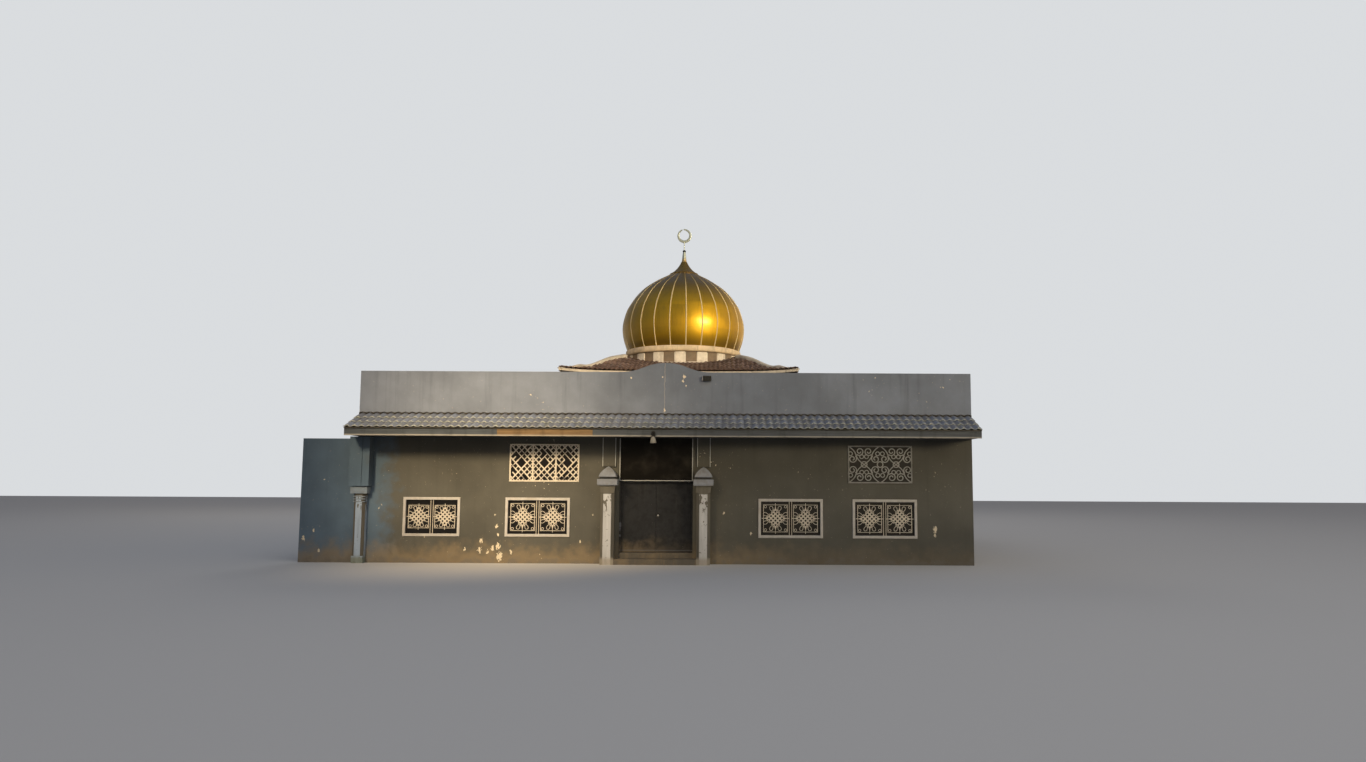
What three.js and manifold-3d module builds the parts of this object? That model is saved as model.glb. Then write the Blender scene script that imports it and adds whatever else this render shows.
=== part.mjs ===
// A small roadside mosque: a single-storey hall behind a parapet, with a tiled eave over the front,
// a double door between two piers, and a gold onion dome on a round drum over the middle of the hall.
// Millimetres. X runs along the front from left to right, Y runs from the front to the back, Z is up.
// The origin is on the ground, under the crossing of the hall's two centre lines.

import * as THREE from "three";
import { mergeVertices } from "three/addons/utils/BufferGeometryUtils.js";
import Module from "manifold-3d";

const wasm = await Module();
wasm.setup();

// Hall
const HALL_WIDTH = 16260;
const HALL_DEPTH = 16200;
const WALL = 200;
const LOWER_WALL_TOP = 3300;
const PARAPET_TOP = 5050;
const PARAPET_CREST = { halfWidth: 1240, rise: 250, footPull: 0.5, peakPull: 0.45 };
const FLOOR_TOP = 290;
const SLAB = { bottom: 4200, top: 4350 };
const WING = { width: 1450, thickness: 150, height: 3240 };

const LEFT = -HALL_WIDTH / 2;
const RIGHT = HALL_WIDTH / 2;
const FRONT = -HALL_DEPTH / 2;
const BACK = HALL_DEPTH / 2;

// Doorway and porch
const DOOR = { left: -1192, right: 747, head: 2160 };
const STEP = { left: -1289, right: 855, depth: 350, height: 150 };
const DOOR_FRAME = { width: 55, front: 100, depth: 90, head: 55 };
const LEAF = { thickness: 40, gap: 5, floorGap: 8 };
const HINGE = { offset: 16, radius: 11, height: 60, plateReach: 45, levels: [250, 1500] };
const LOCK = { width: 70, height: 150, plate: 6, fromEdge: 50, level: 885, knob: 24, knobReach: 50 };
const PIER = { width: 353, chamfer: 68, plinth: 185, shaftTop: 1850, neckTop: 2045, neckWidth: 400 };
const PIER_CENTRES = { left: -1466, right: 1032 };
const PIER_HEAD = { width: 510, slab: 120, band: 60, joint: 35, cap: 275 };
const PIER_HEAD_SETBACK = { band: 15, joint: 55, cap: 25 };
const CAP_CURVE = { rise: 1.6, pull: 0.85 };
const PILASTER_DEPTH = 50;
const CORNER_PIER = { centre: -7970, width: 300, proud: 200, head: 1798 };
const CORNER_HEAD = { width: 440, height: 163, proud: 250 };
const CORNER_BLOCK = { width: 520, depth: 300, joint: 30, grooveWidth: 24, grooveDepth: 15, grooveShift: 78 };

// Windows
const WINDOW = { width: 1700, sill: 690, head: 1710 };
const FIRST_WINDOW_WIDTH = 1500;
const WINDOW_LAP = 60;
const WINDOW_BORDER = 92;
const WINDOW_PROUD = 25;
const SCREEN_INSET = 30;
const SCREEN_THICKNESS = 30;
const SCREEN = { sill: 2130, head: 3120 };
const FRONT_WINDOWS = [
  { name: "window_1", centre: -6118, width: FIRST_WINDOW_WIDTH },
  { name: "window_2", centre: -3332, width: WINDOW.width },
  { name: "window_3", centre: 3321, width: WINDOW.width },
  { name: "window_4", centre: 5799, width: WINDOW.width },
];
const FRONT_SCREENS = [
  { name: "upper_screen_left", centre: -3180, width: 1840 },
  { name: "upper_screen_right", centre: 5690, width: 1700 },
];
const SIDE_WINDOW_CENTRES = [-5400, -1800, 1800, 5400];
const BACK_WINDOW_CENTRES = [-6000, -3300, 3300, 6000];
const SIDE_SCREEN_CENTRES = [-1800, 1800];
const BACK_SCREEN_CENTRES = [-3300, 3300];
const SCREEN_WIDTH = 1700;
const SHEET = { thickness: 10, margin: 80 };

// Tiled eave over the front
const EAVE = { wallTop: 3880, reach: 1000, tileOverhang: 60, frontTop: 3485, tileEdge: 15, soffit: 3300 };
const FASCIA = { thickness: 25, bottom: 3282, top: 3465 };

// Raised middle roof
const DOME_X = 150;
const LANTERN = { half: 3200, wall: 150 };
const SKIRT = { half: 3720, eave: 5576, drumTop: 6050, curve: 1.35, upturn: 100, thickness: 70, joint: 24 };
const HIP_LIFT = { rise: 210, start: 0.35, full: 0.85, fall: 1, gone: 1.28 };
const SEAT_GAP = 0.3;
const HIP = { halfWidth: 95, topShare: 0.6, height: 85, endHeight: 40, sink: 130, endSink: 45, start: 0.2 };
const HIP_END = { rise: 45, place: 0.76, spread: 0.06, taper: 0.25 };

// Drum, ring and dome
const DRUM = { outer: 1900, inner: 1750, top: 6460, steps: 96 };
const BLOCK = { count: 16, proud: 30, bottom: 6000, top: 6440, share: 0.53, phase: -0.05 };
const RING = { outer: 2000, inner: 1750, top: 6650 };
const DOME_OUTLINE = [
  [1930, 6650], [2065, 7080], [2112, 7540], [1948, 8137], [1388, 8852], [619, 9330], [320, 9540],
  [170, 9720], [90, 9870],
];
const DOME = { shell: 40, steps: 48, rows: 20, topHole: 20 };
const MAST = { waist: 64, waistTop: 10020, neck: 48, neckTop: 10230, rod: 16, top: 10565, steps: 16 };
const BEAD = { radius: 60, height: 70 };
const CRESCENT = { outer: 250, inner: 178, shift: 42, opening: 0.14, thickness: 50, foot: 44 };

// Small fittings
const SIGN = { bottom: 2195, top: 3282, thickness: 30, bar: 36, barDepth: 45 };
const LAMP = { x: -240, width: 170, topWidth: 122, height: 165, arm: 60, armBottom: 3245, armTop: 3405 };
const WALL_BOX = { x: 1105, width: 220, bottom: 4816, height: 134, depth: 120 };

const paint = {
  darkGrey: surface(0x625f59, 0.92),
  midGrey: surface(0x8d8d8b, 0.9),
  white: surface(0xd9d4cb, 0.85),
  concrete: surface(0x8b877f, 0.95),
  tile: surface(0x6d5348, 0.85),
  eaveTile: surface(0x7d8085, 0.8),
  cement: surface(0xa89e8e, 0.92),
  cream: surface(0xc9b391, 0.85),
  gold: surface(0xc08a1e, 0.25, 0.9),
  metal: surface(0xb9c0b4, 0.4, 0.8),
  black: surface(0x1a1917, 0.6),
  doorGrey: surface(0x4a4844, 0.7),
};

function surface(color, roughness, metalness = 0) {
  return new THREE.MeshStandardMaterial({ color, roughness, metalness });
}

// Solids

function solidFrom(geometry) {
  const bare = geometry.index ? geometry.toNonIndexed() : geometry.clone();
  bare.deleteAttribute("normal");
  bare.deleteAttribute("uv");
  const merged = mergeVertices(bare, 1e-3);
  return new wasm.Manifold(
    new wasm.Mesh({
      numProp: 3,
      vertProperties: merged.attributes.position.array,
      triVerts: new Uint32Array(merged.index.array),
    }),
  );
}

function geometryFrom(solid) {
  const mesh = solid.getMesh();
  const geometry = new THREE.BufferGeometry();
  geometry.setAttribute("position", new THREE.BufferAttribute(mesh.vertProperties, 3));
  geometry.setIndex(new THREE.BufferAttribute(mesh.triVerts, 1));
  return geometry;
}

function joined(geometries) {
  return geometryFrom(geometries.map(solidFrom).reduce((sum, solid) => sum.add(solid)));
}

function cut(geometry, tools) {
  return geometryFrom(tools.map(solidFrom).reduce((rest, tool) => rest.subtract(tool), solidFrom(geometry)));
}

function box(x0, x1, y0, y1, z0, z1) {
  const geometry = new THREE.BoxGeometry(x1 - x0, y1 - y0, z1 - z0);
  return geometry.translate((x0 + x1) / 2, (y0 + y1) / 2, (z0 + z1) / 2);
}

// A shape drawn in X and Z, run back from y0 to y1.
function runBack(shape, y0, y1) {
  const geometry = new THREE.ExtrudeGeometry(shape, { depth: y1 - y0, bevelEnabled: false });
  return geometry.rotateX(Math.PI / 2).translate(0, y1, 0);
}

// An outline drawn in Y and Z, run along X from x0 to x1.
function runAlong(points, x0, x1) {
  const shape = new THREE.Shape(points.map(([y, z]) => new THREE.Vector2(y, z)));
  const geometry = new THREE.ExtrudeGeometry(shape, { depth: x1 - x0, bevelEnabled: false });
  return geometry.rotateX(Math.PI / 2).rotateZ(Math.PI / 2).translate(x0, 0, 0);
}

// Walls

// A hole through a wall that faces the front, from 1 mm before its face to 1 mm behind it.
function holeBox(centre, width, sill, head, y0) {
  const half = width / 2 - WINDOW_LAP;
  return box(centre - half, centre + half, y0 - 1, y0 + WALL + 1, sill + WINDOW_LAP, head - WINDOW_LAP);
}

function holesOf(windowCentres, screenCentres, y0) {
  return [
    ...windowCentres.map((centre) => holeBox(centre, WINDOW.width, WINDOW.sill, WINDOW.head, y0)),
    ...screenCentres.map((centre) => holeBox(centre, SCREEN_WIDTH, SCREEN.sill, SCREEN.head, y0)),
  ];
}

function lowerFrontWall(x0, x1, pierCentre) {
  const isHere = (piece) => piece.centre > x0 && piece.centre < x1;
  const windows = FRONT_WINDOWS.filter(isHere).map((piece) =>
    holeBox(piece.centre, piece.width, WINDOW.sill, WINDOW.head, FRONT),
  );
  const screens = FRONT_SCREENS.filter(isHere).map((piece) =>
    holeBox(piece.centre, piece.width, SCREEN.sill, SCREEN.head, FRONT),
  );
  const wall = cut(box(x0, x1, FRONT, FRONT + WALL, 0, LOWER_WALL_TOP), [...windows, ...screens]);
  const pilaster = box(
    pierCentre - PIER.width / 2,
    pierCentre + PIER.width / 2,
    FRONT - PILASTER_DEPTH,
    FRONT + 1,
    PIER.neckTop + PIER_HEAD.slab + PIER_HEAD.band + PIER_HEAD.joint + PIER_HEAD.cap,
    EAVE.soffit,
  );
  return joined([wall, pilaster]);
}

// The low crest in the middle of the parapet rises and falls in one soft wave.
function parapetCrest() {
  const { halfWidth, rise, footPull, peakPull } = PARAPET_CREST;
  const peak = PARAPET_TOP + rise;
  const [foot, crown] = [halfWidth * footPull, halfWidth * peakPull];
  const shape = new THREE.Shape();
  shape.moveTo(-halfWidth, PARAPET_TOP);
  shape.lineTo(halfWidth, PARAPET_TOP);
  shape.bezierCurveTo(foot, PARAPET_TOP, crown, peak, 0, peak);
  shape.bezierCurveTo(-crown, peak, -foot, PARAPET_TOP, -halfWidth, PARAPET_TOP);
  return runBack(shape, FRONT, FRONT + WALL);
}

function backWall() {
  const wall = box(LEFT, RIGHT, BACK - WALL, BACK, 0, PARAPET_TOP);
  return cut(wall, holesOf(BACK_WINDOW_CENTRES, BACK_SCREEN_CENTRES, BACK - WALL));
}

function sideWall(outerFace, direction) {
  const wall = box(FRONT + WALL, BACK - WALL, 0, WALL, 0, PARAPET_TOP);
  const geometry = cut(wall, holesOf(SIDE_WINDOW_CENTRES, SIDE_SCREEN_CENTRES, 0)).rotateZ(Math.PI / 2);
  return geometry.translate(direction > 0 ? outerFace : outerFace + WALL, 0, 0);
}

function sideSheet(innerFace, direction) {
  const first = SIDE_WINDOW_CENTRES[0] - WINDOW.width / 2 - SHEET.margin;
  const [x0, x1] = [innerFace, innerFace + direction * SHEET.thickness].sort((a, b) => a - b);
  return box(x0, x1, first, -first, WINDOW.sill - SHEET.margin, SCREEN.head + SHEET.margin);
}

function backSheet() {
  const first = BACK_WINDOW_CENTRES[0] - WINDOW.width / 2 - SHEET.margin;
  const face = BACK - WALL;
  const bottom = WINDOW.sill - SHEET.margin;
  return box(first, -first, face - SHEET.thickness, face, bottom, SCREEN.head + SHEET.margin);
}

// Floor, step and roof slab

function floorSlab() {
  const room = box(LEFT + WALL, RIGHT - WALL, FRONT + WALL, BACK - WALL, 0, FLOOR_TOP);
  const threshold = box(DOOR.left, DOOR.right, FRONT, FRONT + WALL + 1, 0, FLOOR_TOP);
  return joined([room, threshold]);
}

function roofSlab() {
  const slab = box(LEFT + WALL, RIGHT - WALL, FRONT + WALL, BACK - WALL, SLAB.bottom, SLAB.top);
  const height = SLAB.top - SLAB.bottom + 2;
  const well = new THREE.CylinderGeometry(DRUM.inner, DRUM.inner, height, DRUM.steps / 2);
  well.rotateX(Math.PI / 2).translate(DOME_X, 0, SLAB.bottom - 1 + height / 2);
  return cut(slab, [well]);
}

// Windows

function border(centre, width, sill, head) {
  const inner = width / 2 - WINDOW_BORDER;
  const plate = box(centre - width / 2, centre + width / 2, FRONT - WINDOW_PROUD, FRONT, sill, head);
  const opening = box(
    centre - inner,
    centre + inner,
    FRONT - WINDOW_PROUD - 1,
    FRONT + 1,
    sill + WINDOW_BORDER,
    head - WINDOW_BORDER,
  );
  return cut(plate, [opening]);
}

// The raised border stands on the wall's face, and its screen fills the hole behind it.
function framedScreen({ centre, width }, sill, head) {
  const inHole = (setback, y0, y1) => {
    const half = width / 2 - setback;
    return box(centre - half, centre + half, y0, y1, sill + setback, head - setback);
  };
  const screen = inHole(WINDOW_LAP, FRONT + SCREEN_INSET, FRONT + SCREEN_INSET + SCREEN_THICKNESS);
  const sleeve = cut(inHole(WINDOW_LAP, FRONT - 1, FRONT + SCREEN_INSET + 1), [
    inHole(WINDOW_BORDER, FRONT - 2, FRONT + SCREEN_INSET + 2),
  ]);
  return joined([border(centre, width, sill, head), sleeve, screen]);
}

// Porch

function squareFrustum(lowerWidth, upperWidth, height) {
  const diagonal = Math.SQRT1_2;
  const geometry = new THREE.CylinderGeometry(upperWidth * diagonal, lowerWidth * diagonal, height, 4);
  return geometry.rotateY(Math.PI / 4).rotateX(Math.PI / 2).translate(0, 0, height / 2);
}

function chamferedShaft(width, height) {
  const half = width / 2;
  const flat = half - PIER.chamfer;
  const corners = [
    [half, -flat], [half, flat], [flat, half], [-flat, half],
    [-half, flat], [-half, -flat], [-flat, -half], [flat, -half],
  ];
  const shape = new THREE.Shape(corners.map(([x, y]) => new THREE.Vector2(x, y)));
  return new THREE.ExtrudeGeometry(shape, { depth: height, bevelEnabled: false });
}

// A square plinth and a chamfered shaft that stand this far proud of the wall.
function pierShaft(centre, width, proud, height) {
  const plinth = box(centre - width / 2, centre + width / 2, FRONT - proud, FRONT, 0, PIER.plinth);
  const shaft = chamferedShaft(width, height).translate(centre, FRONT - proud + width / 2, 0);
  const wallSpace = box(centre - width, centre + width, FRONT, FRONT + width, -1, height + 1);
  return cut(joined([plinth, shaft]), [wallSpace]);
}

function cornerPier() {
  const { centre, width, proud, head } = CORNER_PIER;
  return pierShaft(centre, width, proud, head);
}

function porchPier(centre) {
  const { width, shaftTop, neckTop, neckWidth } = PIER;
  const neck = squareFrustum(width, neckWidth, neckTop - shaftTop);
  neck.translate(centre, FRONT - width / 2, shaftTop);
  const wallSpace = box(centre - width, centre + width, FRONT, FRONT + width, shaftTop - 1, neckTop + 1);
  return joined([pierShaft(centre, width, width, shaftTop), cut(neck, [wallSpace])]);
}

// The cap is a four-sided dome whose curved sides meet in a point.
function pointedCap(width, height) {
  const corner = width * Math.SQRT1_2;
  const profile = [new THREE.Vector2(0, 0)];
  const rows = 10;
  for (let row = 0; row <= rows; row += 1) {
    const up = row / rows;
    const reach = (1 - up ** CAP_CURVE.rise) ** CAP_CURVE.pull;
    profile.push(new THREE.Vector2(corner * reach, height * up));
  }
  return new THREE.LatheGeometry(profile, 4).rotateY(Math.PI / 4).rotateX(Math.PI / 2);
}

function pierHead(centre) {
  const { width, slab, band, joint, cap } = PIER_HEAD;
  const y = FRONT - PIER.width / 2;
  const z = PIER.neckTop;
  const plate = (plateWidth, z0, z1) =>
    box(centre - plateWidth / 2, centre + plateWidth / 2, y - plateWidth / 2, FRONT, z0, z1);
  const setback = PIER_HEAD_SETBACK;
  const parts = [
    plate(width, z, z + slab),
    plate(width - 2 * setback.band, z + slab - 1, z + slab + band),
    plate(width - 2 * setback.joint, z + slab + band - 1, z + slab + band + joint + 1),
    pointedCap(width - 2 * setback.cap, cap).translate(centre, y, z + slab + band + joint),
  ];
  const wallSpace = box(centre - width, centre + width, FRONT, FRONT + width, z - 1, z + width * 2);
  return cut(joined(parts), [wallSpace]);
}

function cornerPierHead() {
  const { centre, width, proud, head } = CORNER_PIER;
  const plate = (plateWidth, reach, z0, z1) =>
    box(centre - plateWidth / 2, centre + plateWidth / 2, FRONT - reach, FRONT, z0, z1);
  const top = head + CORNER_HEAD.height;
  const slab = plate(CORNER_HEAD.width, CORNER_HEAD.proud, head, top);
  return joined([slab, plate(width, proud, top - 1, top + CORNER_BLOCK.joint)]);
}

function cornerPierBlock() {
  const { centre, head } = CORNER_PIER;
  const { width, depth, joint, grooveWidth, grooveDepth, grooveShift } = CORNER_BLOCK;
  const z0 = head + CORNER_HEAD.height + joint;
  const face = FRONT - depth;
  const half = width / 2;
  const block = box(centre - half, centre + half, face, FRONT, z0, FASCIA.bottom);
  const x = centre + grooveShift - grooveWidth / 2;
  const groove = box(x, x + grooveWidth, face - 1, face + grooveDepth, z0 - 1, FASCIA.bottom + 1);
  return cut(block, [groove]);
}

// Door

function hingeLevels() {
  return HINGE.levels.map((level) => FLOOR_TOP + level);
}

function hingeAxis(side) {
  const jamb = side < 0 ? DOOR.left + DOOR_FRAME.width : DOOR.right - DOOR_FRAME.width;
  return { x: jamb, y: FRONT + DOOR_FRAME.front + DOOR_FRAME.depth + HINGE.offset };
}

// One half of a butt hinge: a barrel on the axis and a plate that runs back to its own side.
function hingeHalf(side, direction, z0, z1) {
  const { x, y } = hingeAxis(side);
  const barrel = new THREE.CylinderGeometry(HINGE.radius, HINGE.radius, z1 - z0, 12);
  barrel.rotateX(Math.PI / 2).translate(x, y, (z0 + z1) / 2);
  const near = x + direction * LEAF.gap;
  const far = x + direction * HINGE.plateReach;
  const plate = box(Math.min(near, far), Math.max(near, far), y - HINGE.offset - 1, y, z0, z1);
  const arm = box(Math.min(x, far), Math.max(x, far), y - 4, y, z0, z1);
  return [barrel, plate, arm];
}

function doorFrame() {
  const y0 = FRONT + DOOR_FRAME.front;
  const y1 = y0 + DOOR_FRAME.depth;
  const jambs = [
    box(DOOR.left, DOOR.left + DOOR_FRAME.width, y0, y1, FLOOR_TOP, DOOR.head),
    box(DOOR.right - DOOR_FRAME.width, DOOR.right, y0, y1, FLOOR_TOP, DOOR.head),
    box(DOOR.left, DOOR.right, y0, y1, DOOR.head - DOOR_FRAME.head, DOOR.head),
  ];
  const hinges = [-1, 1].flatMap((side) =>
    hingeLevels().flatMap((z) => hingeHalf(side, side, z - HINGE.height, z - 0.15)),
  );
  return joined([...jambs, ...hinges]);
}

function doorLeaf(side) {
  const middle = (DOOR.left + DOOR.right) / 2;
  const { x } = hingeAxis(side);
  const inner = middle + side * LEAF.gap / 2;
  const outer = x - side * LEAF.gap;
  const [x0, x1] = [inner, outer].sort((a, b) => a - b);
  const y1 = FRONT + DOOR_FRAME.front + DOOR_FRAME.depth;
  const y0 = y1 - LEAF.thickness;
  const z0 = FLOOR_TOP + LEAF.floorGap;
  const z1 = DOOR.head - DOOR_FRAME.head - LEAF.gap;
  const panel = box(x0, x1, y0, y1, z0, z1);
  const hinges = hingeLevels().flatMap((z) => hingeHalf(side, -side, z + 0.15, z + HINGE.height));
  const lock = side > 0 ? lockPlate(inner + LOCK.fromEdge, y0, z0 + LOCK.level) : [];
  return joined([panel, ...hinges, ...lock]);
}

// A lock plate on a leaf's outer face, with a round knob.
function lockPlate(x, y, z) {
  const plate = box(x - LOCK.width / 2, x + LOCK.width / 2, y - LOCK.plate, y + 1, z, z + LOCK.height);
  const knob = new THREE.CylinderGeometry(LOCK.knob, LOCK.knob, LOCK.knobReach + 1, 16);
  knob.translate(x, y + 1 - (LOCK.knobReach + 1) / 2, z + LOCK.height / 2);
  return [plate, knob];
}

// Sign over the door, left bare

function signFrame() {
  const y0 = FRONT - SIGN.barDepth;
  return joined([
    box(DOOR.left, DOOR.left + SIGN.bar, y0, FRONT, SIGN.bottom, SIGN.top),
    box(DOOR.right - SIGN.bar, DOOR.right, y0, FRONT, SIGN.bottom, SIGN.top),
    box(DOOR.left, DOOR.right, y0, FRONT, SIGN.bottom - SIGN.bar, SIGN.bottom),
  ]);
}

function signBoard() {
  const [x0, x1] = [DOOR.left + SIGN.bar, DOOR.right - SIGN.bar];
  return box(x0, x1, FRONT - SIGN.thickness, FRONT, SIGN.bottom, SIGN.top);
}

// Tiled eave

function eaveRoof() {
  const outer = FRONT - EAVE.reach;
  const tip = outer - EAVE.tileOverhang;
  return runAlong(
    [
      [FRONT, EAVE.soffit],
      [FRONT, EAVE.wallTop],
      [tip, EAVE.frontTop],
      [tip, EAVE.frontTop - EAVE.tileEdge],
      [outer, FASCIA.top],
      [outer, EAVE.soffit],
    ],
    LEFT,
    RIGHT,
  );
}

function fascia() {
  const y = FRONT - EAVE.reach;
  return box(LEFT, RIGHT, y - FASCIA.thickness, y, FASCIA.bottom, FASCIA.top);
}

// Swept roof round the drum. Its hips are lifted, and sink again inside the square round the drum.

function skirtHeight(half, across) {
  const run = (SKIRT.half - half) / (SKIRT.half - DRUM.outer);
  const outward = Math.max(0, 1 - run);
  const rise = (SKIRT.drumTop - SKIRT.eave) * Math.min(run, 1) ** SKIRT.curve;
  const { smoothstep } = THREE.MathUtils;
  const lifted = smoothstep(run, HIP_LIFT.start, HIP_LIFT.full);
  const kept = 1 - smoothstep(run, HIP_LIFT.fall, HIP_LIFT.gone);
  const corner = SKIRT.upturn * outward ** 2 + HIP_LIFT.rise * lifted * kept;
  return SKIRT.eave + rise + corner * across ** 4;
}

// A point on the roof: side 0 is the front, across runs from -1 to 1 along it, outward is 1 at the eave.
function skirtPoint(side, across, outward, drop) {
  const drumEdge = (DRUM.outer + BLOCK.proud + SKIRT.joint) / Math.hypot(1, across);
  const half = drumEdge + (SKIRT.half - drumEdge) * outward;
  const point = new THREE.Vector3(across * half, -half, skirtHeight(half, across) - drop);
  return point.applyAxisAngle(new THREE.Vector3(0, 0, 1), (side * Math.PI) / 2);
}

// The roof runs from one depth below its tiled face to another.
function skirtRoof(topDrop = 0, bottomDrop = SKIRT.thickness) {
  const columns = 16;
  const rows = 9;
  const around = columns * 4;
  const positions = [];
  const indices = [];
  for (const drop of [topDrop, bottomDrop]) {
    for (let row = 0; row <= rows; row += 1) {
      for (let column = 0; column < around; column += 1) {
        const across = ((column % columns) / columns) * 2 - 1;
        const point = skirtPoint(Math.floor(column / columns), across, row / rows, drop);
        positions.push(point.x, point.y, point.z);
      }
    }
  }
  const id = (layer, row, column) => (layer * (rows + 1) + row) * around + (column % around);
  const quad = (a, b, c, d) => indices.push(a, b, c, a, c, d);
  for (let column = 0; column < around; column += 1) {
    const next = column + 1;
    for (let row = 0; row < rows; row += 1) {
      quad(id(0, row, column), id(0, row + 1, column), id(0, row + 1, next), id(0, row, next));
      quad(id(1, row, next), id(1, row + 1, next), id(1, row + 1, column), id(1, row, column));
    }
    quad(id(0, rows, column), id(1, rows, column), id(1, rows, next), id(0, rows, next));
    quad(id(1, 0, column), id(0, 0, column), id(0, 0, next), id(1, 0, next));
  }
  const geometry = new THREE.BufferGeometry();
  geometry.setAttribute("position", new THREE.Float32BufferAttribute(positions, 3));
  geometry.setIndex(indices);
  return geometry;
}

// One wall under the roof, centred on its side. Its top is cut to the slope of the roof's underside.
function lanternWall(halfLength) {
  const { half, wall } = LANTERN;
  const blank = box(-halfLength, halfLength, -half, wall - half, SLAB.top, SKIRT.drumTop);
  return cut(blank, [skirtRoof(-SKIRT.drumTop, SKIRT.thickness + SEAT_GAP)]);
}

// A cement band down one hip, with a low raised end at the corner. It is cut to lie on the roof.
function hipRidge(side) {
  const rows = 14;
  const { height, endHeight, sink, endSink, topShare } = HIP;
  const section = [[-1, -1], [1, -1], [topShare, 1], [-topShare, 1]];
  const corners = section.length;
  const positions = [];
  const indices = [];
  const sideways = new THREE.Vector3(1, -1, 0).normalize();
  for (let row = 0; row <= rows; row += 1) {
    const outward = HIP.start + (1 - HIP.start) * (row / rows);
    const hump = HIP_END.rise * Math.exp(-(((outward - HIP_END.place) / HIP_END.spread) ** 2));
    const ease = THREE.MathUtils.smoothstep(outward, 1 - HIP_END.taper, 1);
    const top = THREE.MathUtils.lerp(height, endHeight, ease) + hump;
    const foot = THREE.MathUtils.lerp(sink, endSink, ease);
    for (const [across, level] of section) {
      const point = skirtPoint(0, -1, outward, 0).addScaledVector(sideways, across * HIP.halfWidth);
      point.z += level > 0 ? top : -foot;
      positions.push(...point.toArray());
    }
  }
  const id = (row, corner) => row * corners + (corner % corners);
  for (let row = 0; row < rows; row += 1) {
    for (let corner = 0; corner < corners; corner += 1) {
      const [a, b] = [id(row, corner), id(row, corner + 1)];
      const [c, d] = [id(row + 1, corner + 1), id(row + 1, corner)];
      indices.push(a, b, d, b, c, d);
    }
  }
  indices.push(id(0, 0), id(0, 2), id(0, 1), id(0, 0), id(0, 3), id(0, 2));
  indices.push(id(rows, 0), id(rows, 1), id(rows, 2), id(rows, 0), id(rows, 2), id(rows, 3));
  const band = new THREE.BufferGeometry();
  band.setAttribute("position", new THREE.Float32BufferAttribute(positions, 3));
  band.setIndex(indices);
  const roof = skirtRoof(0, SKIRT.drumTop).translate(0, 0, SEAT_GAP);
  return cut(band, [roof]).rotateZ((side * Math.PI) / 2);
}

// Drum and dome

function ringWall(outer, inner, z0, z1) {
  const profile = [[inner, z0], [outer, z0], [outer, z1], [inner, z1], [inner, z0]];
  const points = profile.map(([r, z]) => new THREE.Vector2(r, z));
  return new THREE.LatheGeometry(points, DRUM.steps).rotateX(Math.PI / 2);
}

function drum() {
  const wall = ringWall(DRUM.outer, DRUM.inner, SLAB.top, DRUM.top);
  const blocks = [];
  const pitch = (2 * Math.PI) / BLOCK.count;
  const width = DRUM.outer * pitch * BLOCK.share;
  for (let i = 0; i < BLOCK.count; i += 1) {
    const reach = DRUM.outer + BLOCK.proud;
    const block = box(-width / 2, width / 2, -reach, -reach + BLOCK.proud + 40, BLOCK.bottom, BLOCK.top);
    blocks.push(block.rotateZ((i + BLOCK.phase) * pitch));
  }
  return joined([wall, ...blocks]);
}

function domeShell() {
  const outline = new THREE.SplineCurve(DOME_OUTLINE.map(([r, z]) => new THREE.Vector2(r, z)));
  const outer = outline.getPoints(DOME.rows);
  const inner = outer.map((point, row) => {
    const normal = outline.getTangent(row / DOME.rows).rotateAround(new THREE.Vector2(), Math.PI / 2);
    const moved = point.clone().addScaledVector(normal, DOME.shell);
    return new THREE.Vector2(Math.max(moved.x, DOME.topHole), row ? moved.y : point.y);
  });
  inner[inner.length - 1].y = outer[outer.length - 1].y;
  const profile = [...outer, ...inner.reverse(), outer[0].clone()];
  return new THREE.LatheGeometry(profile, DOME.steps).rotateX(Math.PI / 2);
}

function mast() {
  const base = DOME_OUTLINE[DOME_OUTLINE.length - 1][1];
  const foot = DOME_OUTLINE[DOME_OUTLINE.length - 1][0];
  const profile = [[0, base], [foot, base], [MAST.waist, MAST.waistTop], [MAST.neck, MAST.neckTop]];
  const rows = 6;
  for (let row = 1; row < rows; row += 1) {
    const turn = (row / rows) * Math.PI;
    profile.push([BEAD.radius * Math.sin(turn), MAST.neckTop + (BEAD.height / 2) * (1 - Math.cos(turn))]);
  }
  profile.push([MAST.rod, MAST.neckTop + BEAD.height], [MAST.rod, MAST.top], [0, MAST.top]);
  const points = profile.map(([r, z]) => new THREE.Vector2(r, z));
  return new THREE.LatheGeometry(points, MAST.steps).rotateX(Math.PI / 2);
}

function crescent() {
  const { outer, inner, shift, opening, thickness, foot } = CRESCENT;
  const centre = MAST.top + outer;
  const disc = (radius, depth, z) =>
    new THREE.CylinderGeometry(radius, radius, depth, 48).translate(0, 0, z);
  const gap = box(-outer * opening, outer * opening, -thickness, thickness, centre, centre + outer + 1);
  const moon = cut(disc(outer, thickness, centre), [disc(inner, thickness + 2, centre + shift), gap]);
  const seat = box(-foot / 2, foot / 2, -thickness / 2, thickness / 2, MAST.top, MAST.top + foot / 2);
  return joined([moon, seat]);
}

// Small fittings

function lamp() {
  const { x, width, topWidth, height, arm: armWidth, armBottom, armTop } = LAMP;
  const y = FRONT - EAVE.reach - FASCIA.thickness;
  const arm = box(x - armWidth / 2, x + armWidth / 2, y - armWidth * 2, y, armBottom, armTop);
  const body = new THREE.CylinderGeometry(topWidth / 2, width / 2, height, 16);
  body.rotateX(Math.PI / 2).translate(x, y - armWidth, FASCIA.bottom - height / 2);
  const fasciaSpace = box(x - width, x + width, y, y + width, FASCIA.bottom - 2 * height, FASCIA.top);
  return cut(joined([arm, body]), [fasciaSpace]);
}

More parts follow.
